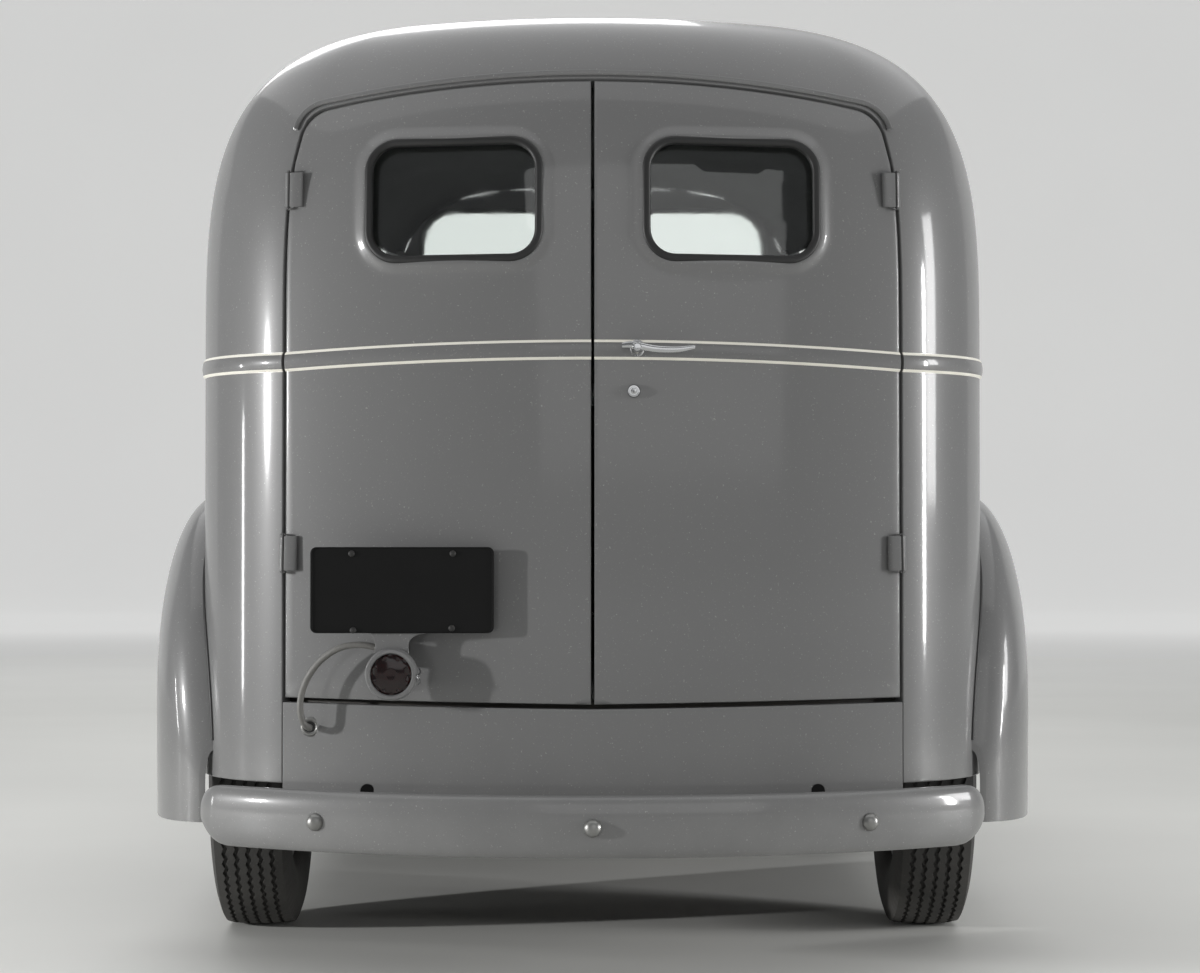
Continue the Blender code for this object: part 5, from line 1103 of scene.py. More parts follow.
@dataclass
class RearDoors:
    """Bowed rear doors with their windows, rubber gaskets, hinges, handle and lock."""

    hinge_z: tuple[float, float] = (0.831, 1.546)
    standoff: float = 0.014

    def lift(self, x: Array, z: Array, depth: Array) -> Array:
        """Puts flat door points on the bowed rear."""
        return LOAF.rear(x, z, depth)

    def hinge_point(self, side: int, z: float) -> Vector:
        """Middle of a hinge pin outside the gap."""
        spot = LOAF.rear(np.array(LOAF.door_half * float(LOAF.draw(z))), np.array(z))
        return Vector((side * spot[0], spot[1] - self.standoff, z))

    def build(self, belt: Belt, shell: Shell) -> None:
        """Makes both doors."""
        swell = [(0.004, -0.0045), (0.009, -0.0065), (0.014, -0.0060), (0.020, -0.0036), (0.026, -0.0012),
                 (0.032, 0.0)]
        window = OPENINGS.window
        for side, word in SIDES:
            body = f"{word}_rear_door"
            door = ring_panel(f"rear_door_skin_{word}", OPENINGS.rear_window,
                              lambda d: OPENINGS.rear_door(-OPENINGS.gap / 2 - d, OPENINGS.gap / 2 + d),
                              window[:2], self.lift, swell, LOAF.wall, side < 0)
            # The door's inner faces take the near-black lining, painted shade of the load space.
            dress(door, body, BODY_ENAMEL, (f"rear_door_{word}",), LINING_PAINTED_SHADE)
            edge = float(shell.t_of(np.array(LOAF.door_half - OPENINGS.gap / 2)))
            start = float(shell.t_of(np.array(OPENINGS.gap / 2)))
            belt.build(f"rear_door_{word}", side, start, edge, body)
            loop = OPENINGS.rear_window(0.0015)
            path = LOAF.rear(loop[:, 0], loop[:, 1], -0.0020) * (side, 1, 1)
            gasket = sweep(f"rear_gasket_{word}", path, soft_section(0.0165, 0.0165, 0.8), (0, 1, 0), True)
            dress(gasket, body, GASKET_RUBBER)
            glass = pane(f"rear_pane_{word}", OPENINGS.rear_window(-0.0006), self.lift, 0.0125, side)
            dress(glass, body, WINDOW_GLASS, (f"rear_glass_{word}",))
            low, high = (self.hinge_point(side, z) for z in self.hinge_z)
            along = (high - low).normalized()
            for z, point in zip(("low", "high"), (low, high)):
                Hinge().build(f"rear_hinge_{word}_{z}", point, along, Vector((-side, 0, 0)),
                              Vector((0, 1, 0)), body, "van")
        self.fittings()

    def fittings(self) -> None:
        """Lever handle on its boss, and the round lock below it, on the right door."""
        body, z = "right_rear_door", 1.225
        y = float(LOAF.rear(np.array(0.085), np.array(z))[1])
        boss = [(0.002, 0), (0.002, 0.017), (-0.003, 0.017), (-0.007, 0.013), (-0.012, 0.0095),
                (-0.030, 0.0085), (-0.040, 0.010), (-0.045, 0.007), (-0.046, 0)]
        dress(turned("handle_boss", boss, (0.085, y, z), 1, 32), body, CHROME)
        path = smooth_path([(0.056, y - 0.034, z + 0.004), (0.072, y - 0.037, z + 0.005),
                            (0.088, y - 0.038, z + 0.003), (0.120, y - 0.037, z - 0.003),
                            (0.160, y - 0.033, z - 0.004), (0.196, y - 0.030, z + 0.001)], 40)
        share = np.linspace(0, 1, 40)
        size = 0.35 + 0.65 * np.sin(math.pi * np.clip(share * 0.85 + 0.12, 0, 1)) ** 0.6
        section = soft_section(0.010, 0.015, 0.9)
        flat = np.stack([np.zeros(24), section[:, 0], section[:, 1]], 1)
        grid = path[:, None] + size[:, None, None] * flat[None]
        dress(tube("handle_lever", grid), body, CHROME)
        ly = float(LOAF.rear(np.array(0.079), np.array(1.143))[1])
        lock = [(0.002, 0), (0.002, 0.0130), (-0.003, 0.0130), (-0.006, 0.011), (-0.0062, 0.0085),
                (-0.004, 0.008), (-0.004, 0.0060), (-0.0085, 0.0056), (-0.009, 0.0045), (-0.009, 0)]
        dress(turned("door_lock", lock, (0.079, ly, 1.143), 1, 32), body, CHROME)
        # Thin black slit on the lock's face: painted shade for the keyhole's hollow.
        slot = tube("lock_slot_painted_shade",
                    np.array([[(0.079 + a * 0.0009, ly - 0.0094 + d, 1.143 + b * 0.003) for a,
                               b in ((-1, -1), (1, -1), (1, 1), (-1, 1))] for d in (0, 0.001)]))
        dress(slot, body, PLATE_ENAMEL)


@dataclass
class CabDoors:
    """Cab doors with pressed window surrounds, gaskets, hinges and lever handles."""

    hinge_z: tuple[float, float] = (0.640, 1.130)

    def build(self, belt: Belt) -> None:
        """Makes both doors."""
        swell = [(0.004, -0.0015), (0.010, -0.0028), (0.016, -0.0020), (0.022, 0.0)]
        for side, word in SIDES:
            body = f"{word}_cab_door"
            door = ring_panel(f"cab_door_skin_{word}", OPENINGS.cab_window,
                              lambda d: OPENINGS.cab_door(-OPENINGS.gap / 2 - d), (0.13, 1.42), LOAF.side,
                              swell, LOAF.wall, side < 0)
            # The door's inner faces take the near-black lining, painted shade of the cab.
            dress(door, body, BODY_ENAMEL, (f"cab_door_{word}",), LINING_PAINTED_SHADE)
            belt.build(f"cab_door_{word}", side, LOAF.plan_t(OPENINGS.cab_rear + 0.003),
                       LOAF.plan_t(OPENINGS.cab_front - 0.003), body)
            loop = OPENINGS.cab_window(0.001)
            path = LOAF.side(loop[:, 0], loop[:, 1], 0.001) * (side, 1, 1)
            dress(sweep(f"cab_gasket_{word}", path, soft_section(0.010, 0.009, 0.8), (1, 0, 0), True), body,
                  GASKET_RUBBER)
            glass = pane(f"cab_pane_{word}", OPENINGS.cab_window(-0.0006), LOAF.side, 0.0125, side)
            dress(glass, body, WINDOW_GLASS, (f"cab_glass_{word}",))
            x = float(LOAF.side_width(OPENINGS.cab_front)) + 0.014
            for place, z in zip(("low", "high"), self.hinge_z):
                Hinge().build(f"cab_hinge_{word}_{place}", Vector((side * x, OPENINGS.cab_front, z)),
                              Vector((0, 0, 1)), Vector((0, -1, 0)), Vector((-side, 0, 0)), body, "van")
            hx = float(LOAF.side_width(-0.25))
            boss = [(-0.002, 0), (-0.002, 0.019), (0.004, 0.018), (0.010, 0.011), (0.034, 0.0095),
                    (0.040, 0.006), (0.040, 0)]
            boss = [(a * side, r) for a, r in boss]
            dress(turned(f"cab_handle_boss_{word}", boss, (side * hx, -0.255, 1.120), 0, 28), body, CHROME)
            lever = smooth_path([(side * (hx + 0.036), -0.275, 1.122), (side * (hx + 0.040), -0.240, 1.122),
                                 (side * (hx + 0.038), -0.180, 1.118),
                                 (side * (hx + 0.034), -0.140, 1.116)], 24)
            dress(sweep(f"cab_handle_lever_{word}", lever, soft_section(0.010, 0.016, 0.9)), body, CHROME,
                  bevel=0.002)


@dataclass
class PlateAndLamp:
    """Blank number plate on its bracket, the tail lamp below it and the lamp's cable."""

    plate: tuple[float, float, float, float] = (-0.365, 0.761, 0.352, 0.165)
    plate_y: float = -2.262
    lamp: tuple[float, float] = (-0.385, 0.600)
    grommet: tuple[float, float] = (-0.552, 0.492)
    body: str = "left_rear_door"

    def cable(self) -> None:
        """Free cable from the bracket, arching left and down into the apron's grommet."""
        route = [(-0.4043, -2.222, 0.647), (-0.448, -2.220, 0.655), (-0.490, -2.214, 0.648),
                 (-0.528, -2.202, 0.622), (-0.555, -2.192, 0.584), (-0.567, -2.188, 0.542),
                 (-0.563, -2.184, 0.506), (-0.552, -2.170, 0.492), (-0.552, -2.1508, 0.492)]
        path = smooth_path(route, 36)
        piece = sweep("lamp_cable", path, disc_section(0.0063, 16), (0.3, 1, 0.2))
        dress(piece, self.body, CABLE_BRAID, ("tail_lamp_cable",))

    def build(self) -> None:
        """Makes the plate, its bracket, its screws, the lamp and the cable."""
        self.cable()
        px, pz, width, height = self.plate
        y, body = self.plate_y, self.body
        a, b = width / 2, height / 2
        corners = [(px - a, pz - b), (px + a, pz - b), (px + a, pz + b), (px - a, pz + b)]
        loop = rounded_loop(corners, [0.012] * 4, 8)
        middle = np.array([px, pz])
        rings = []
        for share, depth in ((1.0, 0.006), (1.0, 0.0008), (0.994, 0.0), (0.982, 0.0), (0.976, 0.0022),
                             (0.5, 0.0022), (0.02, 0.0022)):
            flat = middle + (loop - middle) * share
            rings.append(np.stack([flat[:, 0], np.full(len(flat), y + depth), flat[:, 1]], 1))
        dress(tube("blank_plate", np.stack(rings)), body, PLATE_ENAMEL, ("number_plate",))
        lx, lz = self.lamp
        left = [(-0.048, 0.0, 0.096), (-0.042, 0.0, 0.080), (-0.0345, 0.0, 0.068), (-0.0320, 0.0, 0.056),
                (-0.0330, 0.0, 0.040)]
        right = [(0.0330, 0.0, 0.040), (0.0320, 0.0, 0.054), (0.0360, 0.0, 0.066), (0.0500, 0.0, 0.075),
                 (0.0820, 0.0, 0.082), (0.0840, 0.0, 0.096)]
        neck = np.concatenate([smooth_path(left, 16), smooth_path(right, 20)]) + np.array([lx, 0.0, lz])
        bracket = tube("plate_bracket",
                       np.stack([neck + np.array([0.0, d, 0.0]) for d in (y + 0.0062, y + 0.0092)]))
        dress(bracket, body, BODY_ENAMEL, bevel=0.001)
        for word, x, z, tall in (("low", lx + 0.001, 0.640, 0.040), ("high", px, 0.785, 0.020)):
            half = 0.019 if word == "low" else 0.060
            foot = float(LOAF.rear(np.array(x - half), np.array(z))[1])
            block = np.array(
                [[(x + a * half, d, z + b * tall / 2) for a, b in ((-1, -1), (1, -1), (1, 1), (-1, 1))]
                 for d in (y + 0.008, foot - 0.0003)])
            dress(tube(f"plate_stay_{word}", block), body, BODY_ENAMEL, bevel=0.002)
        for number, (x, z) in enumerate(((px - 0.097, 0.831), (px - 0.094, 0.684), (px + 0.095, 0.688),
                                         (px + 0.097, 0.831))):
            head = [(0.001, 0), (0.001, 0.0062), (-0.002, 0.0060), (-0.0036, 0.004), (-0.004, 0.0)]
            dress(turned(f"plate_screw_{number}", head, (x, y + 0.0015, z), 1, 20), body, CHASSIS_PAINT)
        shell = [(0.012, 0.0), (0.012, 0.030), (0.008, 0.0480), (0.000, 0.0505), (-0.010, 0.0505),
                 (-0.020, 0.0498), (-0.0245, 0.0470), (-0.0250, 0.0420), (-0.0225, 0.0400),
                 (-0.0180, 0.0392), (-0.0180, 0.0)]
        dress(turned("tail_lamp_shell", shell, (lx, y + 0.006, lz), 1, 64), body, BODY_ENAMEL,
              ("tail_lamp",))
        steps = 96
        angle = full_turn(steps)
        radius = np.array([0.0391, 0.0384, 0.0374, 0.0355, 0.0335, 0.0300, 0.0255, 0.0200, 0.0140, 0.0080,
                           0.0002])[:, None]
        dome = -0.0185 - 0.0060 * np.sqrt(np.clip(1 - (radius / 0.0395) ** 2, 0, 1))
        ribs = 0.0022 * np.cos(8 * angle)[None] * np.exp(-(((radius - 0.0355) / 0.0022) ** 2))
        ribs = ribs + 0.0005 * np.cos(radius / 0.0095 * 2 * math.pi)
        front = joined(lx + radius * np.cos(angle), y + 0.006 + dome + ribs, lz + radius * np.sin(angle))
        back = joined(lx + 0.0391 * np.cos(angle), np.full(steps, y - 0.0085), lz + 0.0391 * np.sin(angle))
        dress(tube("tail_lamp_lens", np.concatenate([back[None], front])), body, RED_GLASS,
              sharp=50)
        clip = smooth_path([(lx + 0.052, y + 0.004, lz + 0.012), (lx + 0.056, y - 0.008, lz + 0.004),
                            (lx + 0.050, y - 0.021, lz - 0.004), (lx + 0.056, y - 0.010, lz - 0.012),
                            (lx + 0.051, y + 0.004, lz - 0.020)], 30)
        dress(sweep("lens_clip", clip, disc_section(0.0013, 8), (0, 0.4, 1)), body, CHROME)
        strip = smooth_path([(lx - 0.012, y + 0.012, 0.655), (lx - 0.024, y + 0.030, 0.652),
                             (lx - 0.012, y + 0.038, 0.648)], 12)
        dress(sweep("cable_clip", strip, soft_section(0.010, 0.002)), body, CHASSIS_PAINT)


# Fenders, hood and nose


@dataclass
class FenderForm:
    """Bulged fender: superellipses in side view, plan and section, from a border over a crown to a lip."""

    ends: tuple[float, float]
    centre: float
    outer: float
    top: float
    middle: float
    powers: tuple[float, float, float]
    arch: float
    axle_y: float
    border: Callable[[Array], Array]
    bottom: Callable[[Array], Array]
    apron: float | None = None
    sheet: float = 0.012
    around: int = 30
    lamp: tuple[float, float, float] | None = None

    def skin(self, inset: float, stations: int = 110) -> Array:
        """Points of the skin at a distance inside it.

        The side view and plan are (1 - |s| ** p) ** (1 / p) of the share s along the fender, and the
        section is sine and cosine to 2 / power. The lip follows the wheel arch's circle. Round a
        headlamp, y is at most the lamp's plus a ramp of 1.3 times the distance beyond its rim.
        """
        side_p, plan_p, section_p = self.powers
        share = np.sin(np.linspace(-1, 1, stations) * math.pi / 2) * 0.992
        y = self.centre + share * np.where(share < 0, self.centre - self.ends[0], self.ends[1] - self.centre)
        side_view = (1 - np.abs(share) ** side_p) ** (1 / side_p)
        plan_view = (1 - np.abs(share) ** plan_p) ** (1 / plan_p)
        x_in, bottom = self.border(y), self.bottom(y)
        crown = bottom + 0.02 + (self.top - bottom - 0.02) * side_view - inset
        width = (self.outer - x_in) * plan_view - inset
        waist = np.minimum(self.middle, bottom + (crown - bottom) * 0.5)
        reach = np.clip(self.arch**2 - (y - self.axle_y) ** 2, 0, None)
        lip = np.maximum(bottom, np.where(reach > 0, TYRE_RADIUS + np.sqrt(reach), 0))
        lip = np.minimum(lip, crown - 0.01)
        up_lip = np.clip((lip - waist) / (crown - waist), 0, 1)
        stop = np.arccos(up_lip ** (section_p / 2))
        angle = stop * np.linspace(0, 1, self.around)[:, None]
        out = np.sin(angle) ** (2 / section_p)
        up = np.clip(np.cos(angle), 0, 1) ** (2 / section_p)
        lean = inset * (1 - out) if self.apron is not None else 0.0
        over = joined(x_in + lean + width * out, y, waist + (crown - waist) * up)
        drop = np.linspace(0, 1, 9)[1:, None]
        low_z = np.minimum(over[-1, :, 2], np.maximum(lip, bottom))
        z = over[-1, :, 2] + (low_z - over[-1, :, 2]) * drop
        tuck = 1 - 0.015 * drop * (z < waist)
        under = joined(x_in + (over[-1, :, 0] - x_in) * tuck, y, z)
        rows = [over, under]
        if self.apron is not None:
            edge = np.stack([x_in + inset, y, np.minimum(self.apron, crown - 0.004)], -1)
            low = np.maximum(edge[:, 2], np.where(reach > 0, TYRE_RADIUS + np.sqrt(reach), 0))
            edge[:, 2] = np.minimum(low, crown - 0.004)
            wall = edge[None] + (over[0] - edge)[None] * np.linspace(0, 1, 6)[:-1, None, None]
            rows.insert(0, wall)
        points = np.concatenate(rows)
        if self.lamp is not None:
            gone = np.hypot(points[..., 0] - self.lamp[0], points[..., 2] - self.lamp[2])
            limit = self.lamp[1] + 0.002 - inset + np.clip(gone - 0.092, 0, None) * 1.3
            points[..., 1] = np.where(points[..., 1] > self.axle_y + 0.2, np.minimum(points[..., 1], limit),
                                      points[..., 1])
        return points

    def build(self, name: str, side: int, node: str) -> None:
        """Makes the fender of one side."""
        piece = slab(name, self.skin(0.0) * (side, 1, 1), self.skin(self.sheet) * (side, 1, 1))
        dress(piece, "van", BODY_ENAMEL, (node,), CHASSIS_PAINT, bevel=0.004)


def body_edge(y: Array) -> Array:
    """Half-width of the body at a station: the rear corner's arc, then the side's width."""
    back = np.clip(LOAF.corner_y - y, 0, LOAF.corner * 0.995)
    return np.where(y < LOAF.corner_y, LOAF.half_width - LOAF.corner + np.sqrt(LOAF.corner**2 - back**2),
                    LOAF.side_width(y))


def hood_half(y: Array) -> Array:
    """Half-width of the hood: it narrows by the share toward the nose to the 1.25."""
    share = (np.asarray(y, float) - 0.800) / 1.330
    return 0.545 - 0.345 * np.clip(share, 0, 1.1) ** 1.25


def front_border(y: Array) -> Array:
    """Inner border of the front fender: the cowl's side, then the hood's side."""
    beside = LOAF.side_width(y) - 0.004
    blend = np.clip((np.asarray(y) - 0.800) / 0.12, 0, 1)
    return beside + (hood_half(y) + 0.006 - beside) * blend


def front_bottom(y: Array) -> Array:
    """Lip of the front fender: on the running board behind the wheel, higher ahead of it."""
    return np.where(y < FRONT_AXLE_Y, STEP_TOP, 0.430)


def front_crown(y: Array) -> Array:
    """Crown of the front fender at a station."""
    reach = np.where(y < 1.6, 0.94, 0.6)
    share = np.clip(np.abs(y - 1.6) / reach, 0, 1)
    low = front_bottom(y)
    return low + 0.02 + (0.915 - low) * (1 - share**3.2) ** (1 / 3.2)


def hood_ridge(y: Array) -> Array:
    """Height of the hood's ridge, which falls slowly and then droops at the nose."""
    share = (y - 0.806) / 1.324
    droop = np.clip((share - 0.72) / 0.28, 0, 1)
    return 1.262 - 0.142 * share - 0.170 * (1 - np.sqrt(1 - 0.98 * droop**2))


REAR_FENDER = FenderForm((-1.963, -0.678), -1.358, 0.935, 0.965, 0.500, (2.5, 2.35, 2.5), 0.400, REAR_AXLE_Y,
                         lambda y: body_edge(y) - 0.004, lambda y: np.where(y > REAR_AXLE_Y, STEP_TOP, 0.288))
FRONT_FENDER = FenderForm((0.660, 2.200), 1.600, 0.905, 0.935, 0.560, (3.2, 2.6, 2.5), 0.455, FRONT_AXLE_Y,
                          front_border, front_bottom, 0.515, around=64, lamp=(0.560, 2.080, 0.740))


@dataclass
class Nose:
    """Hood with its centre moulding, hood sides, fenders with their welts, grille and headlamps."""

    lamp: tuple[float, float, float] = (0.560, 2.080, 0.740)

    def hood_skin(self, inset: float) -> Array:
        """Points of the hood: superelliptic arches between the fenders, which droop toward the nose."""
        y = np.linspace(0.806, 2.130, 70)
        top = hood_ridge(y) - inset
        low = np.maximum(front_crown(y) + 0.006, 0.930)
        angle = np.linspace(0, math.pi, 81)[:, None]
        cos, sin = np.cos(angle), np.clip(np.sin(angle), 0, 1)
        across = np.sign(cos) * np.abs(cos) ** (2 / 2.4)
        crease = 0.006 * np.exp(-((across * (hood_half(y) - inset)) / 0.012) ** 2)
        x = (hood_half(y) - inset) * across
        return joined(x, y, low + (top - low) * sin ** (2 / 2.4) + crease)

    def build(self) -> None:
        """Makes all of the nose."""
        hood = slab("hood_skin", self.hood_skin(0.0), self.hood_skin(0.014))
        dress(hood, "hood_lid", BODY_ENAMEL, ("hood",), CHASSIS_PAINT, bevel=0.003)
        y = np.linspace(0.830, 2.060, 60)
        line = np.stack([np.zeros(60), y, hood_ridge(y) + 0.0065], 1)
        dress(sweep("hood_centre_moulding", line, soft_section(0.012, 0.009)), "hood_lid", CHROME,
              bevel=0.001)
        for side, word in SIDES:
            FRONT_FENDER.build(f"front_fender_skin_{word}", side, f"front_fender_{word}")
            REAR_FENDER.build(f"rear_fender_skin_{word}", side, f"rear_fender_{word}")
            self.hood_side(side, word)
            self.headlamp(side, word)
            self.welt(side, word)
        self.grille()

    def hood_side(self, side: int, word: str) -> None:
        """Fixed strip between the hood and the front fender."""
        y = np.linspace(0.806, 2.130, 60)
        x = front_border(y)
        low, high = front_crown(y) - 0.030, np.maximum(front_crown(y) - 0.004, 0.924)
        share = np.linspace(0, 1, 6)[:, None]
        outer = joined(x + 0.012, y, low + (high - low) * share)
        inner = joined(x, y, low + (high - low) * share)
        dress(slab(f"hood_side_{word}", outer * (side, 1, 1), inner * (side, 1, 1)), "van", BODY_ENAMEL,
              bevel=0.002)

    def welt(self, side: int, word: str) -> None:
        """Rubber welt squeezed between the rear fender and the body, along the fender's inner border."""
        skin = REAR_FENDER.skin(0.0, 80)[0]
        keep = skin[(skin[:, 2] > 0.45)]
        keep = keep + np.array([0.0045, 0, 0.003])
        dress(sweep(f"fender_welt_{word}", keep * (side, 1, 1), disc_section(0.0042, 10)), "van",
              GASKET_RUBBER)

    def headlamp(self, side: int, word: str) -> None:
        """Headlamp: painted shell in the fender, bright rim and a fluted lens."""
        x, y, z = self.lamp
        place = (side * x, y, z)
        shell = [(-0.200, 0), (-0.200, 0.040), (-0.150, 0.070), (-0.080, 0.090), (-0.030, 0.0955),
                 (0.006, 0.0972), (0.006, 0.0)]
        dress(turned(f"headlamp_shell_{word}", shell, place, 1), "van", BODY_ENAMEL,
              (f"headlamp_{word}",))
        rim = [(0.004, 0.080), (0.004, 0.0965), (0.010, 0.0980), (0.018, 0.0955), (0.0235, 0.0880),
               (0.0220, 0.0810), (0.014, 0.0790)]
        dress(turned(f"headlamp_rim_{word}", rim, place, 1, ring=True), "van", CHROME)
        steps = 72
        angle = full_turn(steps)
        radius = np.concatenate([[0.080, 0.080], np.linspace(0.079, 0.0002, 14)])[:, None]
        lift = 0.017 + 0.021 * np.sqrt(np.clip(1 - (radius / 0.081) ** 2, 0, 1))
        lift[0] = 0.010
        flute = 0.0008 * np.cos(radius * np.cos(angle) * 2 * math.pi / 0.011)
        flute = flute * np.clip((0.076 - radius) / 0.01, 0, 1)
        lens = joined(side * x + radius * np.cos(angle), y + lift + flute, z + radius * np.sin(angle))
        dress(tube(f"headlamp_lens_{word}", lens), "van", LAMP_GLASS, sharp=60)
        bowl = [(0.009, 0.0), (0.0085, 0.0300), (0.0085, 0.0795), (0.0075, 0.0795), (0.0075, 0.0)]
        dress(turned(f"headlamp_bowl_{word}", bowl, place, 1), "van", CHROME)

    def grille(self) -> None:
        """Nose panel with its opening, upright bars and a surround, all bowed in plan."""
        half, low, high = 0.188, 0.515, 0.924
        xs = np.linspace(-half, half, 61)

        def front(x: Array, z: Array, depth: float) -> Array:
            """Face of the nose at a place, moved back by a depth."""
            lift = (z - low) / (high - low)
            swell = 0.050 * (1 - 0.35 * lift**2)
            return joined(x * (1 - 0.05 * lift**3), 2.166 - depth + swell * (1 - (x / half) ** 2), z)

        for word, span in (("low", (low, 0.566)), ("high", (high - 0.046, high))):
            z = np.linspace(*span, 10)[:, None]
            piece = slab(f"nose_panel_{word}", front(xs[None], z, 0.0), front(xs[None], z, 0.030))
            dress(piece, "van", BODY_ENAMEL, ("grille",), bevel=0.005)
        for side, word in SIDES:
            x = side * np.linspace(half - 0.034, half, 8)[:, None]
            z = np.linspace(0.560, high - 0.040, 40)[None]
            piece = slab(f"nose_panel_{word}", front(x, z, 0.0), front(x, z, 0.055))
            dress(piece, "van", BODY_ENAMEL, bevel=0.005)
        across = np.linspace(-1, 1, 41)[:, None]
        along = np.linspace(0, 1, 24)[None]
        face = front(across * half * 0.94, np.array(high), 0.0)
        back_y, lift = 2.106, 0.030 * (1 - np.abs(across) ** 2.6) * (1 - along**2.2)
        top = joined(face[..., 0] * (0.93 + 0.07 * along), back_y + (face[..., 1] - back_y) * along,
                     high - 0.002 + lift)
        under = top - np.array([0, 0, 0.010])
        dress(slab("nose_cap", top, under), "van", BODY_ENAMEL, bevel=0.003)
        pitch = 2 * (half - 0.03) / 12
        z = np.linspace(0.558, high - 0.038, 40)
        for number in range(11):
            x = -half + 0.03 + pitch * (number + 1)
            path = front(np.full(40, x), z, 0.012)
            dress(sweep(f"grille_bar_{number}", path, soft_section(0.0125, 0.022, 0.7), (0, 1, 0)), "van",
                  BODY_ENAMEL)
            edge = front(np.full(40, x), z, 0.0005)
            dress(sweep(f"grille_bead_{number}", edge, soft_section(0.0045, 0.003, 0.9, 12), (0, 1, 0)),
                  "van", STRIPE_ENAMEL)


# Bumpers and wheels


@dataclass
class Bumper:
    """Pressed bumper bar: an arc in plan that curls round at its ends, with round-headed bolts."""

    name: str
    half: float
    face_y: float
    away: int
    bow: float
    curl: float = 0.150
    height: float = 0.118
    depth: float = 0.045
    z: float = 0.318

    def build(self) -> None:
        """Makes the bar and its bolts."""
        turn = math.asin((self.half - self.curl) / (self.bow - self.curl))
        a = np.concatenate([np.linspace(0, turn, 50), np.linspace(turn, math.radians(88), 26)[1:]])
        main = a <= turn
        rest = self.bow - self.curl
        x = np.where(main, self.bow * np.sin(a), rest * math.sin(turn) + self.curl * np.sin(a))
        s = np.where(main, self.bow - self.bow * np.cos(a),
                     self.bow - rest * math.cos(turn) - self.curl * np.cos(a))
        a, x, s = (np.concatenate([sign * v[:0:-1], v]) for v, sign in ((a, -1), (x, -1), (s, 1)))
        share = np.clip((np.abs(x) - self.half + 0.060) / 0.060, 0, 0.9995)[:, None]
        t = full_turn(40)
        up = np.sign(np.sin(t)) * np.abs(np.sin(t)) ** 0.62 * self.height / 2
        deep = (np.sign(np.cos(t)) * np.abs(np.cos(t)) ** 0.75 - 1) * self.depth / 2
        grid = np.stack([x[:, None] + deep * np.sin(a)[:, None],
                         self.face_y - self.away * s[:, None] + self.away * deep * np.cos(a)[:, None],
                         self.z + up * np.where(up > 0, (1 - share**4.5) ** (1 / 4.5),
                                                (1 - share**2.2) ** (1 / 2.2))], -1)
        dress(tube(f"{self.name}_bar", grid), "van", BODY_ENAMEL, (self.name,))
        for number, bolt_x in enumerate((-0.530, 0.0, 0.530)):
            y = self.face_y - self.away * (self.bow - math.sqrt(self.bow**2 - bolt_x**2))
            head = np.array([(-0.006, 0.0), (-0.006, 0.0172), (0.003, 0.0170), (0.007, 0.0152),
                             (0.0105, 0.0118), (0.0130, 0.0070), (0.0139, 0.0)])
            head[:, 0] *= self.away
            dress(turned(f"{self.name}_bolt_{number}", head, (bolt_x, y, self.z), 1, 32), "van", DULL_PLATE)


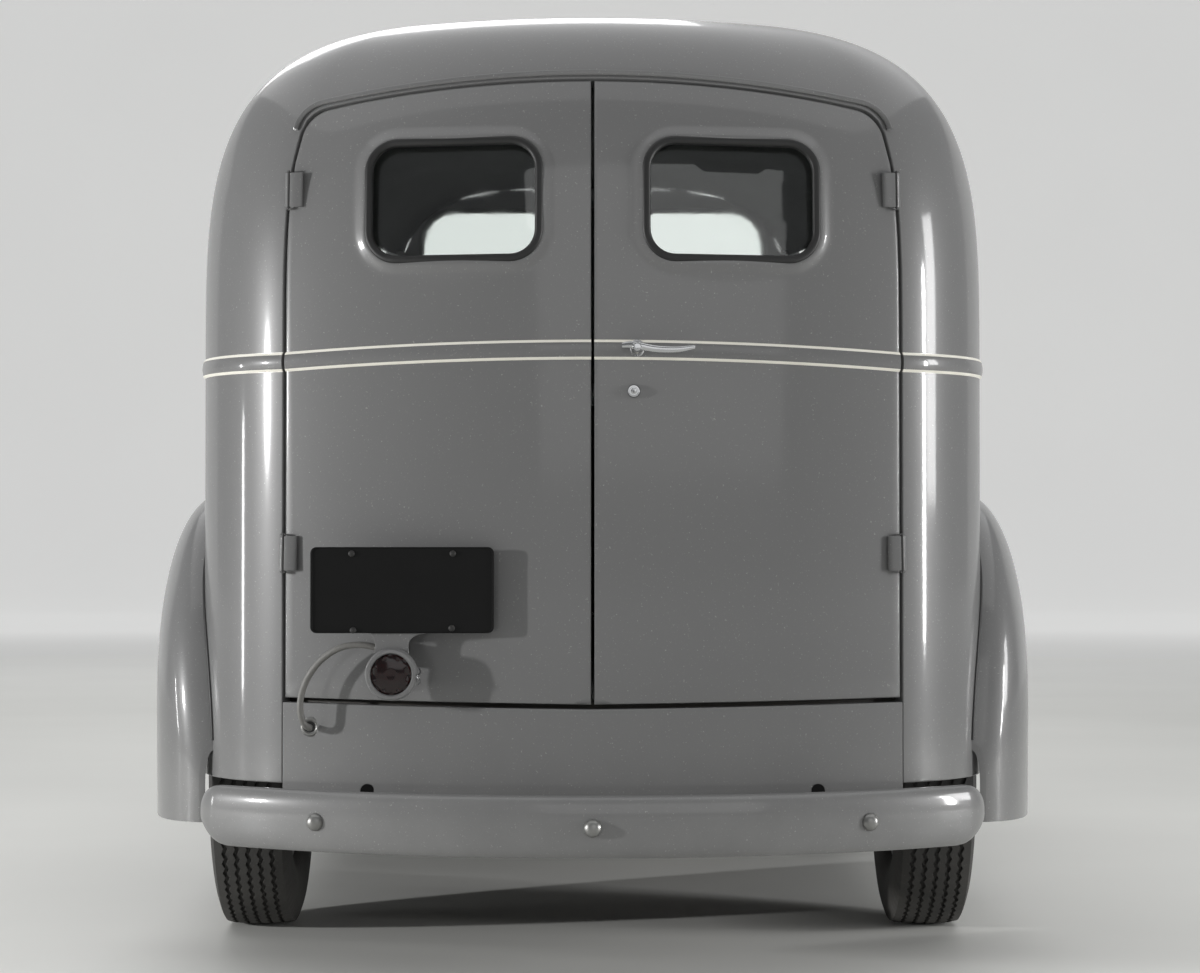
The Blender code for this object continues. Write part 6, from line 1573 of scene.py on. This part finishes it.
@dataclass
class Wheel:
    """Wheel with a ribbed tyre: zigzag grooves round the tread, a disc, a rim and a bright cap."""

    radius: float = TYRE_RADIUS
    width: float = 0.168
    rim: float = 0.214
    pitches: int = 84

    def tyre(self, name: str, centre: Sequence[float], body: str) -> None:
        """Tyre whose tread has six ribs; each groove's place sways as a triangle wave round the tyre."""
        half = self.width / 2
        steps = self.pitches * 4
        angle = full_turn(steps)
        sway = np.tile([0.0, 1.0, 0.0, -1.0], self.pitches) * 0.0026
        tread = half * 0.86
        edges = []
        for centre_x in np.linspace(-0.70, 0.70, 5) * tread:
            edges += [(centre_x - 0.0046, 0.0, 1), (centre_x - 0.0036, 0.0085, 1),
                      (centre_x + 0.0036, 0.0085, 1), (centre_x + 0.0046, 0.0, 1)]
        edges = [(-tread, 0.002, 0), *edges, (tread, 0.002, 0)]
        crown = [(x, 0.0020 * (x / tread) ** 2 * 2 + depth, w) for x, depth, w in edges]
        wall = [(half * 0.90, 0.012), (half * 0.965, 0.028), (half * 0.985, 0.034), (half * 1.0, 0.052),
                (half, 0.070), (half * 0.99, 0.090), (half * 0.955, 0.108), (half * 0.945, 0.110),
                (half * 0.90, 0.124), (half * 0.80, 0.138), (half * 0.72, 0.1428)]
        profile = [(-x, d, 0) for x, d in reversed(wall)] + crown + [(x, d, 0) for x, d in wall]
        x, depth, wave = (np.array(col)[:, None] for col in zip(*profile))
        teeth = np.tile([0.0, 0.0035, 0.0035, 0.0], self.pitches // 2 * 2)
        notch = teeth[None] * (np.abs(np.abs(x) - half * 0.90) < 0.001)
        r = self.radius - depth - notch
        along = x + wave * sway[None]
        grid = joined(along, r * np.cos(angle), r * np.sin(angle)) + np.asarray(centre)
        inner = joined(-x[[0, -1]], (self.rim + 0.02) * np.cos(angle),
                       (self.rim + 0.02) * np.sin(angle))
        grid = np.concatenate([grid, inner + np.asarray(centre)])
        piece = tube(name, np.swapaxes(grid, 0, 1), wrap_rows=True)
        dress(piece, body, TYRE_RUBBER, (name.replace("_rubber", ""),), sharp=30)

    def disc(self, place: str, side: int, centre: Sequence[float], body: str) -> None:
        """Rim and disc in one, the hub cap, two stripes and the valve stem."""
        half = self.width / 2 * 0.70
        profile = [(-0.055, 0.0232), (-0.055, 0.120), (-0.053, 0.140), (-0.045, 0.146), (-0.012, 0.148),
                   (-0.010, 0.176), (-0.034, 0.192), (-half + 0.004, 0.198), (-half - 0.001, 0.203),
                   (-half - 0.002, 0.2125), (-half + 0.003, 0.2137), (half - 0.003, 0.2137),
                   (half + 0.002, 0.2125), (half + 0.001, 0.203), (half - 0.004, 0.199), (0.040, 0.1955),
                   (0.022, 0.190), (0.010, 0.185), (0.014, 0.176), (0.026, 0.160), (0.030, 0.148),
                   (0.027, 0.126), (0.018, 0.104), (0.014, 0.092), (0.012, 0.078), (-0.006, 0.076),
                   (-0.008, 0.0232)]
        profile = np.array(profile) * (side, 1)
        dress(turned(f"wheel_disc_{place}", profile, centre, 0, 96, ring=True), body, BODY_ENAMEL,
              (f"wheel_{place}",))
        cap = np.array([(0.013, 0.0), (0.013, 0.086), (0.019, 0.0875), (0.026, 0.084), (0.033, 0.074),
                        (0.038, 0.066), (0.0395, 0.060), (0.0435, 0.054), (0.0475, 0.040), (0.0495, 0.022),
                        (0.0500, 0.0)]) * (side, 1)
        dress(turned(f"hub_cap_{place}", cap, centre, 0, 72), body, CHROME)
        for number, radius in enumerate((0.158, 0.200)):
            ring = np.array([(0.0268, radius - 0.0022), (0.0276, radius), (0.0268, radius + 0.0022),
                             (0.024, radius)])
            if number == 1:
                ring[:, 0] += 0.0245
            ring = ring * (side, 1)
            dress(turned(f"wheel_stripe_{number}_{place}", ring, centre, 0, 96, ring=True), body,
                  STRIPE_ENAMEL)
        angle = math.radians(70)
        foot = np.asarray(centre) + np.array([side * 0.020, 0.178 * math.cos(angle), 0.178 * math.sin(angle)])
        path = np.linspace(foot, foot + np.array([side * 0.030, -0.006, -0.014]), 4)
        dress(sweep(f"valve_stem_{place}", path, disc_section(0.004, 12)), body, GASKET_RUBBER)

    def build(self) -> None:
        """Makes the four wheels."""
        for side, word in SIDES:
            for place, y in (("front", FRONT_AXLE_Y), ("rear", REAR_AXLE_Y)):
                centre = (side * HALF_TRACK, y, TYRE_RADIUS)
                body = f"{place}_{word}_wheel"
                self.tyre(f"tyre_{place}_{word}_rubber", centre, body)
                self.disc(f"{place}_{word}", side, centre, body)


@dataclass
class Underneath:
    """CAD nodes that keep their shape and get a finish, the windshield, the seat and the step mats."""

    def windshield(self) -> None:
        """Both flat panes of the divided windshield with their surrounds, mouldings and rubber."""
        def plane(x: Array, z: Array, depth: Array) -> Array:
            """Points behind the windshield's plane by a depth."""
            return joined(x, windshield_y(z) - depth, z)

        for side, word in SIDES:
            corners = [(0.0145, 1.3305), (0.5145, 1.3305), (0.4785, 1.7995), (0.0145, 1.7995)]
            loop = rounded_loop(corners, [0.020, 0.050, 0.090, 0.020], 12)
            dress(pane(f"windshield_pane_{word}", loop, plane, 0.0130, side), "van", WINDOW_GLASS,
                  (f"windshield_{word}",))
            ring = rounded_loop([(0.0, 1.300), (0.545, 1.300), (0.520, 1.838), (0.0, 1.838)],
                                [0.002, 0.03, 0.125, 0.002], 24)
            hole = rounded_loop([(0.0, 1.322), (0.524, 1.322), (0.488, 1.806), (0.0, 1.806)],
                                [0.002, 0.05, 0.095, 0.002], 24)
            centre = np.array([0.25, 1.56])
            angles = full_turn(240)
            flat = np.stack([star(hole, centre, angles), star(ring, centre, angles)])
            faces = np.concatenate([plane(flat[..., 0], flat[..., 1], 0.020),
                                    plane(flat[::-1, :, 0], flat[::-1, :, 1], 0.024)])
            # Surround in the near-black lining: painted shade round the windshield inside the cab.
            dress(tube(f"windshield_surround_{word}", faces * (side, 1, 1), wrap_rows=True), "van", LINING_PAINTED_SHADE,
                  sharp=30)
            path = plane(hole[:, 0], hole[:, 1], 0.026) * (side, 1, 1)
            section = soft_section(0.016, 0.016, 0.7)
            trim = sweep(f"windshield_moulding_{word}", path, section, (0, 1, 0), True)
            dress(trim, "van", MOULDING_PAINT)
            seal = sweep(f"windshield_seal_{word}", path, soft_section(0.011, 0.007, 0.8), (0, 1, 0), True)
            dress(seal, "van", GASKET_RUBBER)

    def seat(self) -> None:
        """Base, cushion and back of the bench: each ring is a soft oblong that shrinks toward its ends."""
        spec = (("seat_cushion", (-0.130, 0.186), (0.665, 0.812), 0.0, True),
                ("seat_back", (-0.258, -0.150), (0.795, 1.208), -0.16, True),
                ("seat_box", (-0.296, 0.150), (0.546, 0.668), 0.0, False))
        for name, (y0, y1), (z0, z1), lean, soft in spec:
            s = np.sin(np.linspace(-1, 1, 60) * math.pi / 2)
            swell = (1 - np.abs(s) ** 14) ** (1 / 5) if soft else 0.98 + 0 * s
            section = soft_section(y1 - y0, z1 - z0, 0.30 if soft else 0.12, 64)
            pleat = 1 + (0.012 * np.cos(s * math.pi * 11) if soft else 0 * s)
            y = (y0 + y1) / 2 + section[None, :, 0] * (swell * pleat)[:, None]
            z = (z0 + z1) / 2 + section[None, :, 1] * swell[:, None]
            y = y + lean * (z - z0)
            x = np.broadcast_to((s * 0.555)[:, None], y.shape)
            piece = tube(name, np.stack([x, y, z], -1))
            dress(piece, "van", SEAT_CLOTH, ("seat",), sharp=50)

    def build(self) -> None:
        """Dresses the chassis, the engine and the inside."""
        for node, finish, slot in (("frame", CHASSIS_PAINT, "chassis"),
                                   ("front_axle", CHASSIS_PAINT, "chassis"),
                                   ("rear_axle", CHASSIS_PAINT, "chassis"),
                                   ("fuel_tank", CHASSIS_PAINT, "chassis"),
                                   ("exhaust", PIPE_STEEL, "engine"), ("engine_block", CAST_IRON, "engine"),
                                   ("radiator", CORE_PAINT, "chassis"), ("floor_pan", FLOOR_PAINT, "floor"),
                                   ("running_board_left", GASKET_RUBBER, "step"),
                                   ("running_board_right", GASKET_RUBBER, "step"),
                                   ("steering_wheel", HARD_RUBBER, "black_plastic")):
            smooth_copy(node, "van", finish, bevel=0.002)
        smooth_copy("knuckle_left", "left_knuckle", CHASSIS_PAINT, bevel=0.001)
        smooth_copy("knuckle_right", "right_knuckle", CHASSIS_PAINT, bevel=0.001)
        smooth_copy("tie_rod", "steering_tie_rod", CHASSIS_PAINT)
        self.windshield()
        self.seat()
        for side, word in SIDES:
            x = np.linspace(0.585, 0.893, 160)
            ribs = 0.0014 * (np.sin((x - 0.585) / 0.308 * 2 * math.pi * 18) > 0.0)
            y = np.array([-0.66, -0.655, 0.655, 0.66])[:, None]
            lift = np.array([0, 1, 1, 0])[:, None]
            top = joined(side * x, y * 0.99, STEP_TOP + 0.001 + ribs * lift)
            low = joined(side * x, y * 0.99, np.full_like(x, 0.3715))
            dress(slab(f"step_mat_{word}", top, low), "van", GASKET_RUBBER, sharp=30)


# Stage


@dataclass
class Stage:
    """Pale floor and backdrop, soft lamps, and the camera behind the van."""

    camera_place: tuple[float, float, float] = (0.0, -7.778, 0.857)
    pitch: float = 1.064
    yaw: float = -0.145
    lens: float = 86.4

    def pale(self, name: str, colour: str, glow: tuple[float, float]) -> bpy.types.Material:
        """Matt pale material with a faint mottling, a little brighter to the camera, mirrors and panes.

        Args:
            name: Name of the material.
            colour: Colour as a hex.
            glow: Brightness added for those rays on the floor and on the wall.

        Returns:
            The new material.
        """
        made, tree, place = blank_material(name)
        cloud = add_node(tree, "ShaderNodeTexNoise", {"Vector": place, "Scale": 0.6, "Detail": 3.0})
        tone = ranged(tree, cloud.outputs["Fac"], 0.3, 0.7, 0.97, 1.03)
        base = add_node(tree, "ShaderNodeVectorMath", {0: linear(colour)[:3], "Scale": tone},
                        operation="SCALE")
        ray = add_node(tree, "ShaderNodeLightPath")
        seen = maths(tree, "ADD", ray.outputs["Is Camera Ray"], ray.outputs["Is Glossy Ray"])
        seen = maths(tree, "ADD", seen, ray.outputs["Is Transmission Ray"])
        split = add_node(tree, "ShaderNodeSeparateXYZ", {0: place})
        height = ranged(tree, split.outputs["Z"], 0.02, 1.2, glow[0], glow[1])
        level = add_node(tree, "ShaderNodeVectorMath", {0: place, 1: (1.0, 1.0, 0.0)}, operation="MULTIPLY")
        away = add_node(tree, "ShaderNodeVectorMath", {0: level.outputs[0]}, operation="LENGTH")
        far = ranged(tree, away.outputs["Value"], 7.0, 20.0, 0.0, glow[1])
        power = maths(tree, "MULTIPLY", seen, maths(tree, "MAXIMUM", height, far))
        shader = add_node(tree, "ShaderNodeBsdfPrincipled",
                          {"Base Color": base.outputs[0], "Roughness": 0.6,
                           "Emission Color": linear("#ffffff"), "Emission Strength": power})
        add_node(tree, "ShaderNodeOutputMaterial", {"Surface": shader.outputs[0]})
        return made

    def lamp(self, name: str, place: Sequence[float], aim: Sequence[float], size: tuple[float, float],
             watts: float) -> None:
        """Oblong soft lamp turned toward a point."""
        data = bpy.data.lights.new(name, "AREA")
        data.shape, data.size, data.size_y, data.energy = "RECTANGLE", size[0], size[1], watts
        lamp = bpy.data.objects.new(name, data)
        lamp.location = place
        lamp.rotation_euler = (Vector(aim) - Vector(place)).to_track_quat("-Z", "Y").to_euler()
        bpy.context.scene.collection.objects.link(lamp)

    def build(self) -> None:
        """Makes the camera, the lamps, the floor and the backdrop."""
        data = bpy.data.cameras.new("photo_camera")
        data.lens, data.sensor_width, data.clip_end = self.lens, 36.0, 200.0
        camera = bpy.data.objects.new("photo_camera", data)
        camera.location = self.camera_place
        camera.rotation_euler = (math.radians(90 + self.pitch), 0, math.radians(self.yaw))
        bpy.context.scene.collection.objects.link(camera)
        bpy.context.scene.camera = camera
        u = np.linspace(0, 1, 60)[:, None]
        run, rise = 40.0, 14.0
        bend = np.clip((u - 0.5) / 0.12, 0, 1) * math.pi / 2
        y = np.where(u < 0.5, -40 + u * 2 * 66, 26 + 3 * np.sin(bend))
        z = np.where(u < 0.5, 0, 3 * (1 - np.cos(bend))) + np.clip(u - 0.62, 0, 1) / 0.38 * rise
        x = np.linspace(-run, run, 20)[None]
        cove = tube("stage_cove", joined(x, y, z - 0.0005), wrap_columns=False)
        cove.data.polygons.foreach_set("use_smooth", np.ones(len(cove.data.polygons), bool))
        cove.data.materials.append(self.pale("pale_matt_cove", "#dededa", (0.0, 0.46)))
        world = bpy.data.worlds.new("soft_room")
        bpy.context.scene.world = world
        world.use_nodes = True
        tree = world.node_tree
        sky = tree.nodes["Background"]
        sky.inputs[0].default_value = linear("#e4e6e8")
        ray = add_node(tree, "ShaderNodeLightPath")
        power = add_node(tree, "ShaderNodeMath", {0: ray.outputs["Is Camera Ray"], 1: 0.40, 2: 0.26},
                         operation="MULTIPLY_ADD")
        tree.links.new(power.outputs[0], sky.inputs[1])
        self.lamp("left_key", (-6.3, -4.10, 1.45), (0, -2.2, 0.9), (0.18, 0.36), 300)
        self.lamp("left_strip", (-6.6, -1.70, 0.80), (0, -2.1, 0.9), (0.12, 1.10), 30)
        self.lamp("right_strip", (6.5, -3.55, 1.35), (0, -2.1, 0.9), (0.20, 1.80), 150)
        self.lamp("right_panel", (7.2, -2.9, 2.1), (0, -2.1, 0.9), (1.0, 2.2), 120)
        self.lamp("rear_panel", (2.0, -11.0, 3.6), (0, -2.2, 0.9), (8.0, 5.0), 100)
        self.lamp("front_panel", (-2.0, 10.5, 7.8), (0, 1.5, 0.7), (6.0, 4.0), 230)
        self.lamp("ceiling_lamp", (0, 1.5, 7.0), (0, 1.5, 0), (12.0, 14.0), 430)
        bpy.context.scene.view_settings.view_transform = "Standard"


def main() -> None:
    """Builds the stage and every sub-assembly."""
    logging.basicConfig(level=logging.INFO, format="%(message)s")
    Stage().build()
    PlateAndLamp().build()
    shell = Shell()
    shell.build()
    RearDoors().build(shell.belt, shell)
    CabDoors().build(shell.belt)
    Nose().build()
    Bumper("rear_bumper", 0.7765, -2.384, -1, 1.225, 0.100).build()
    Bumper("front_bumper", 0.830, 2.384, 1, 1.900).build()
    Wheel().build()
    Underneath().build()
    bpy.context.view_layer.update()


if __name__ == "__main__":
    main()
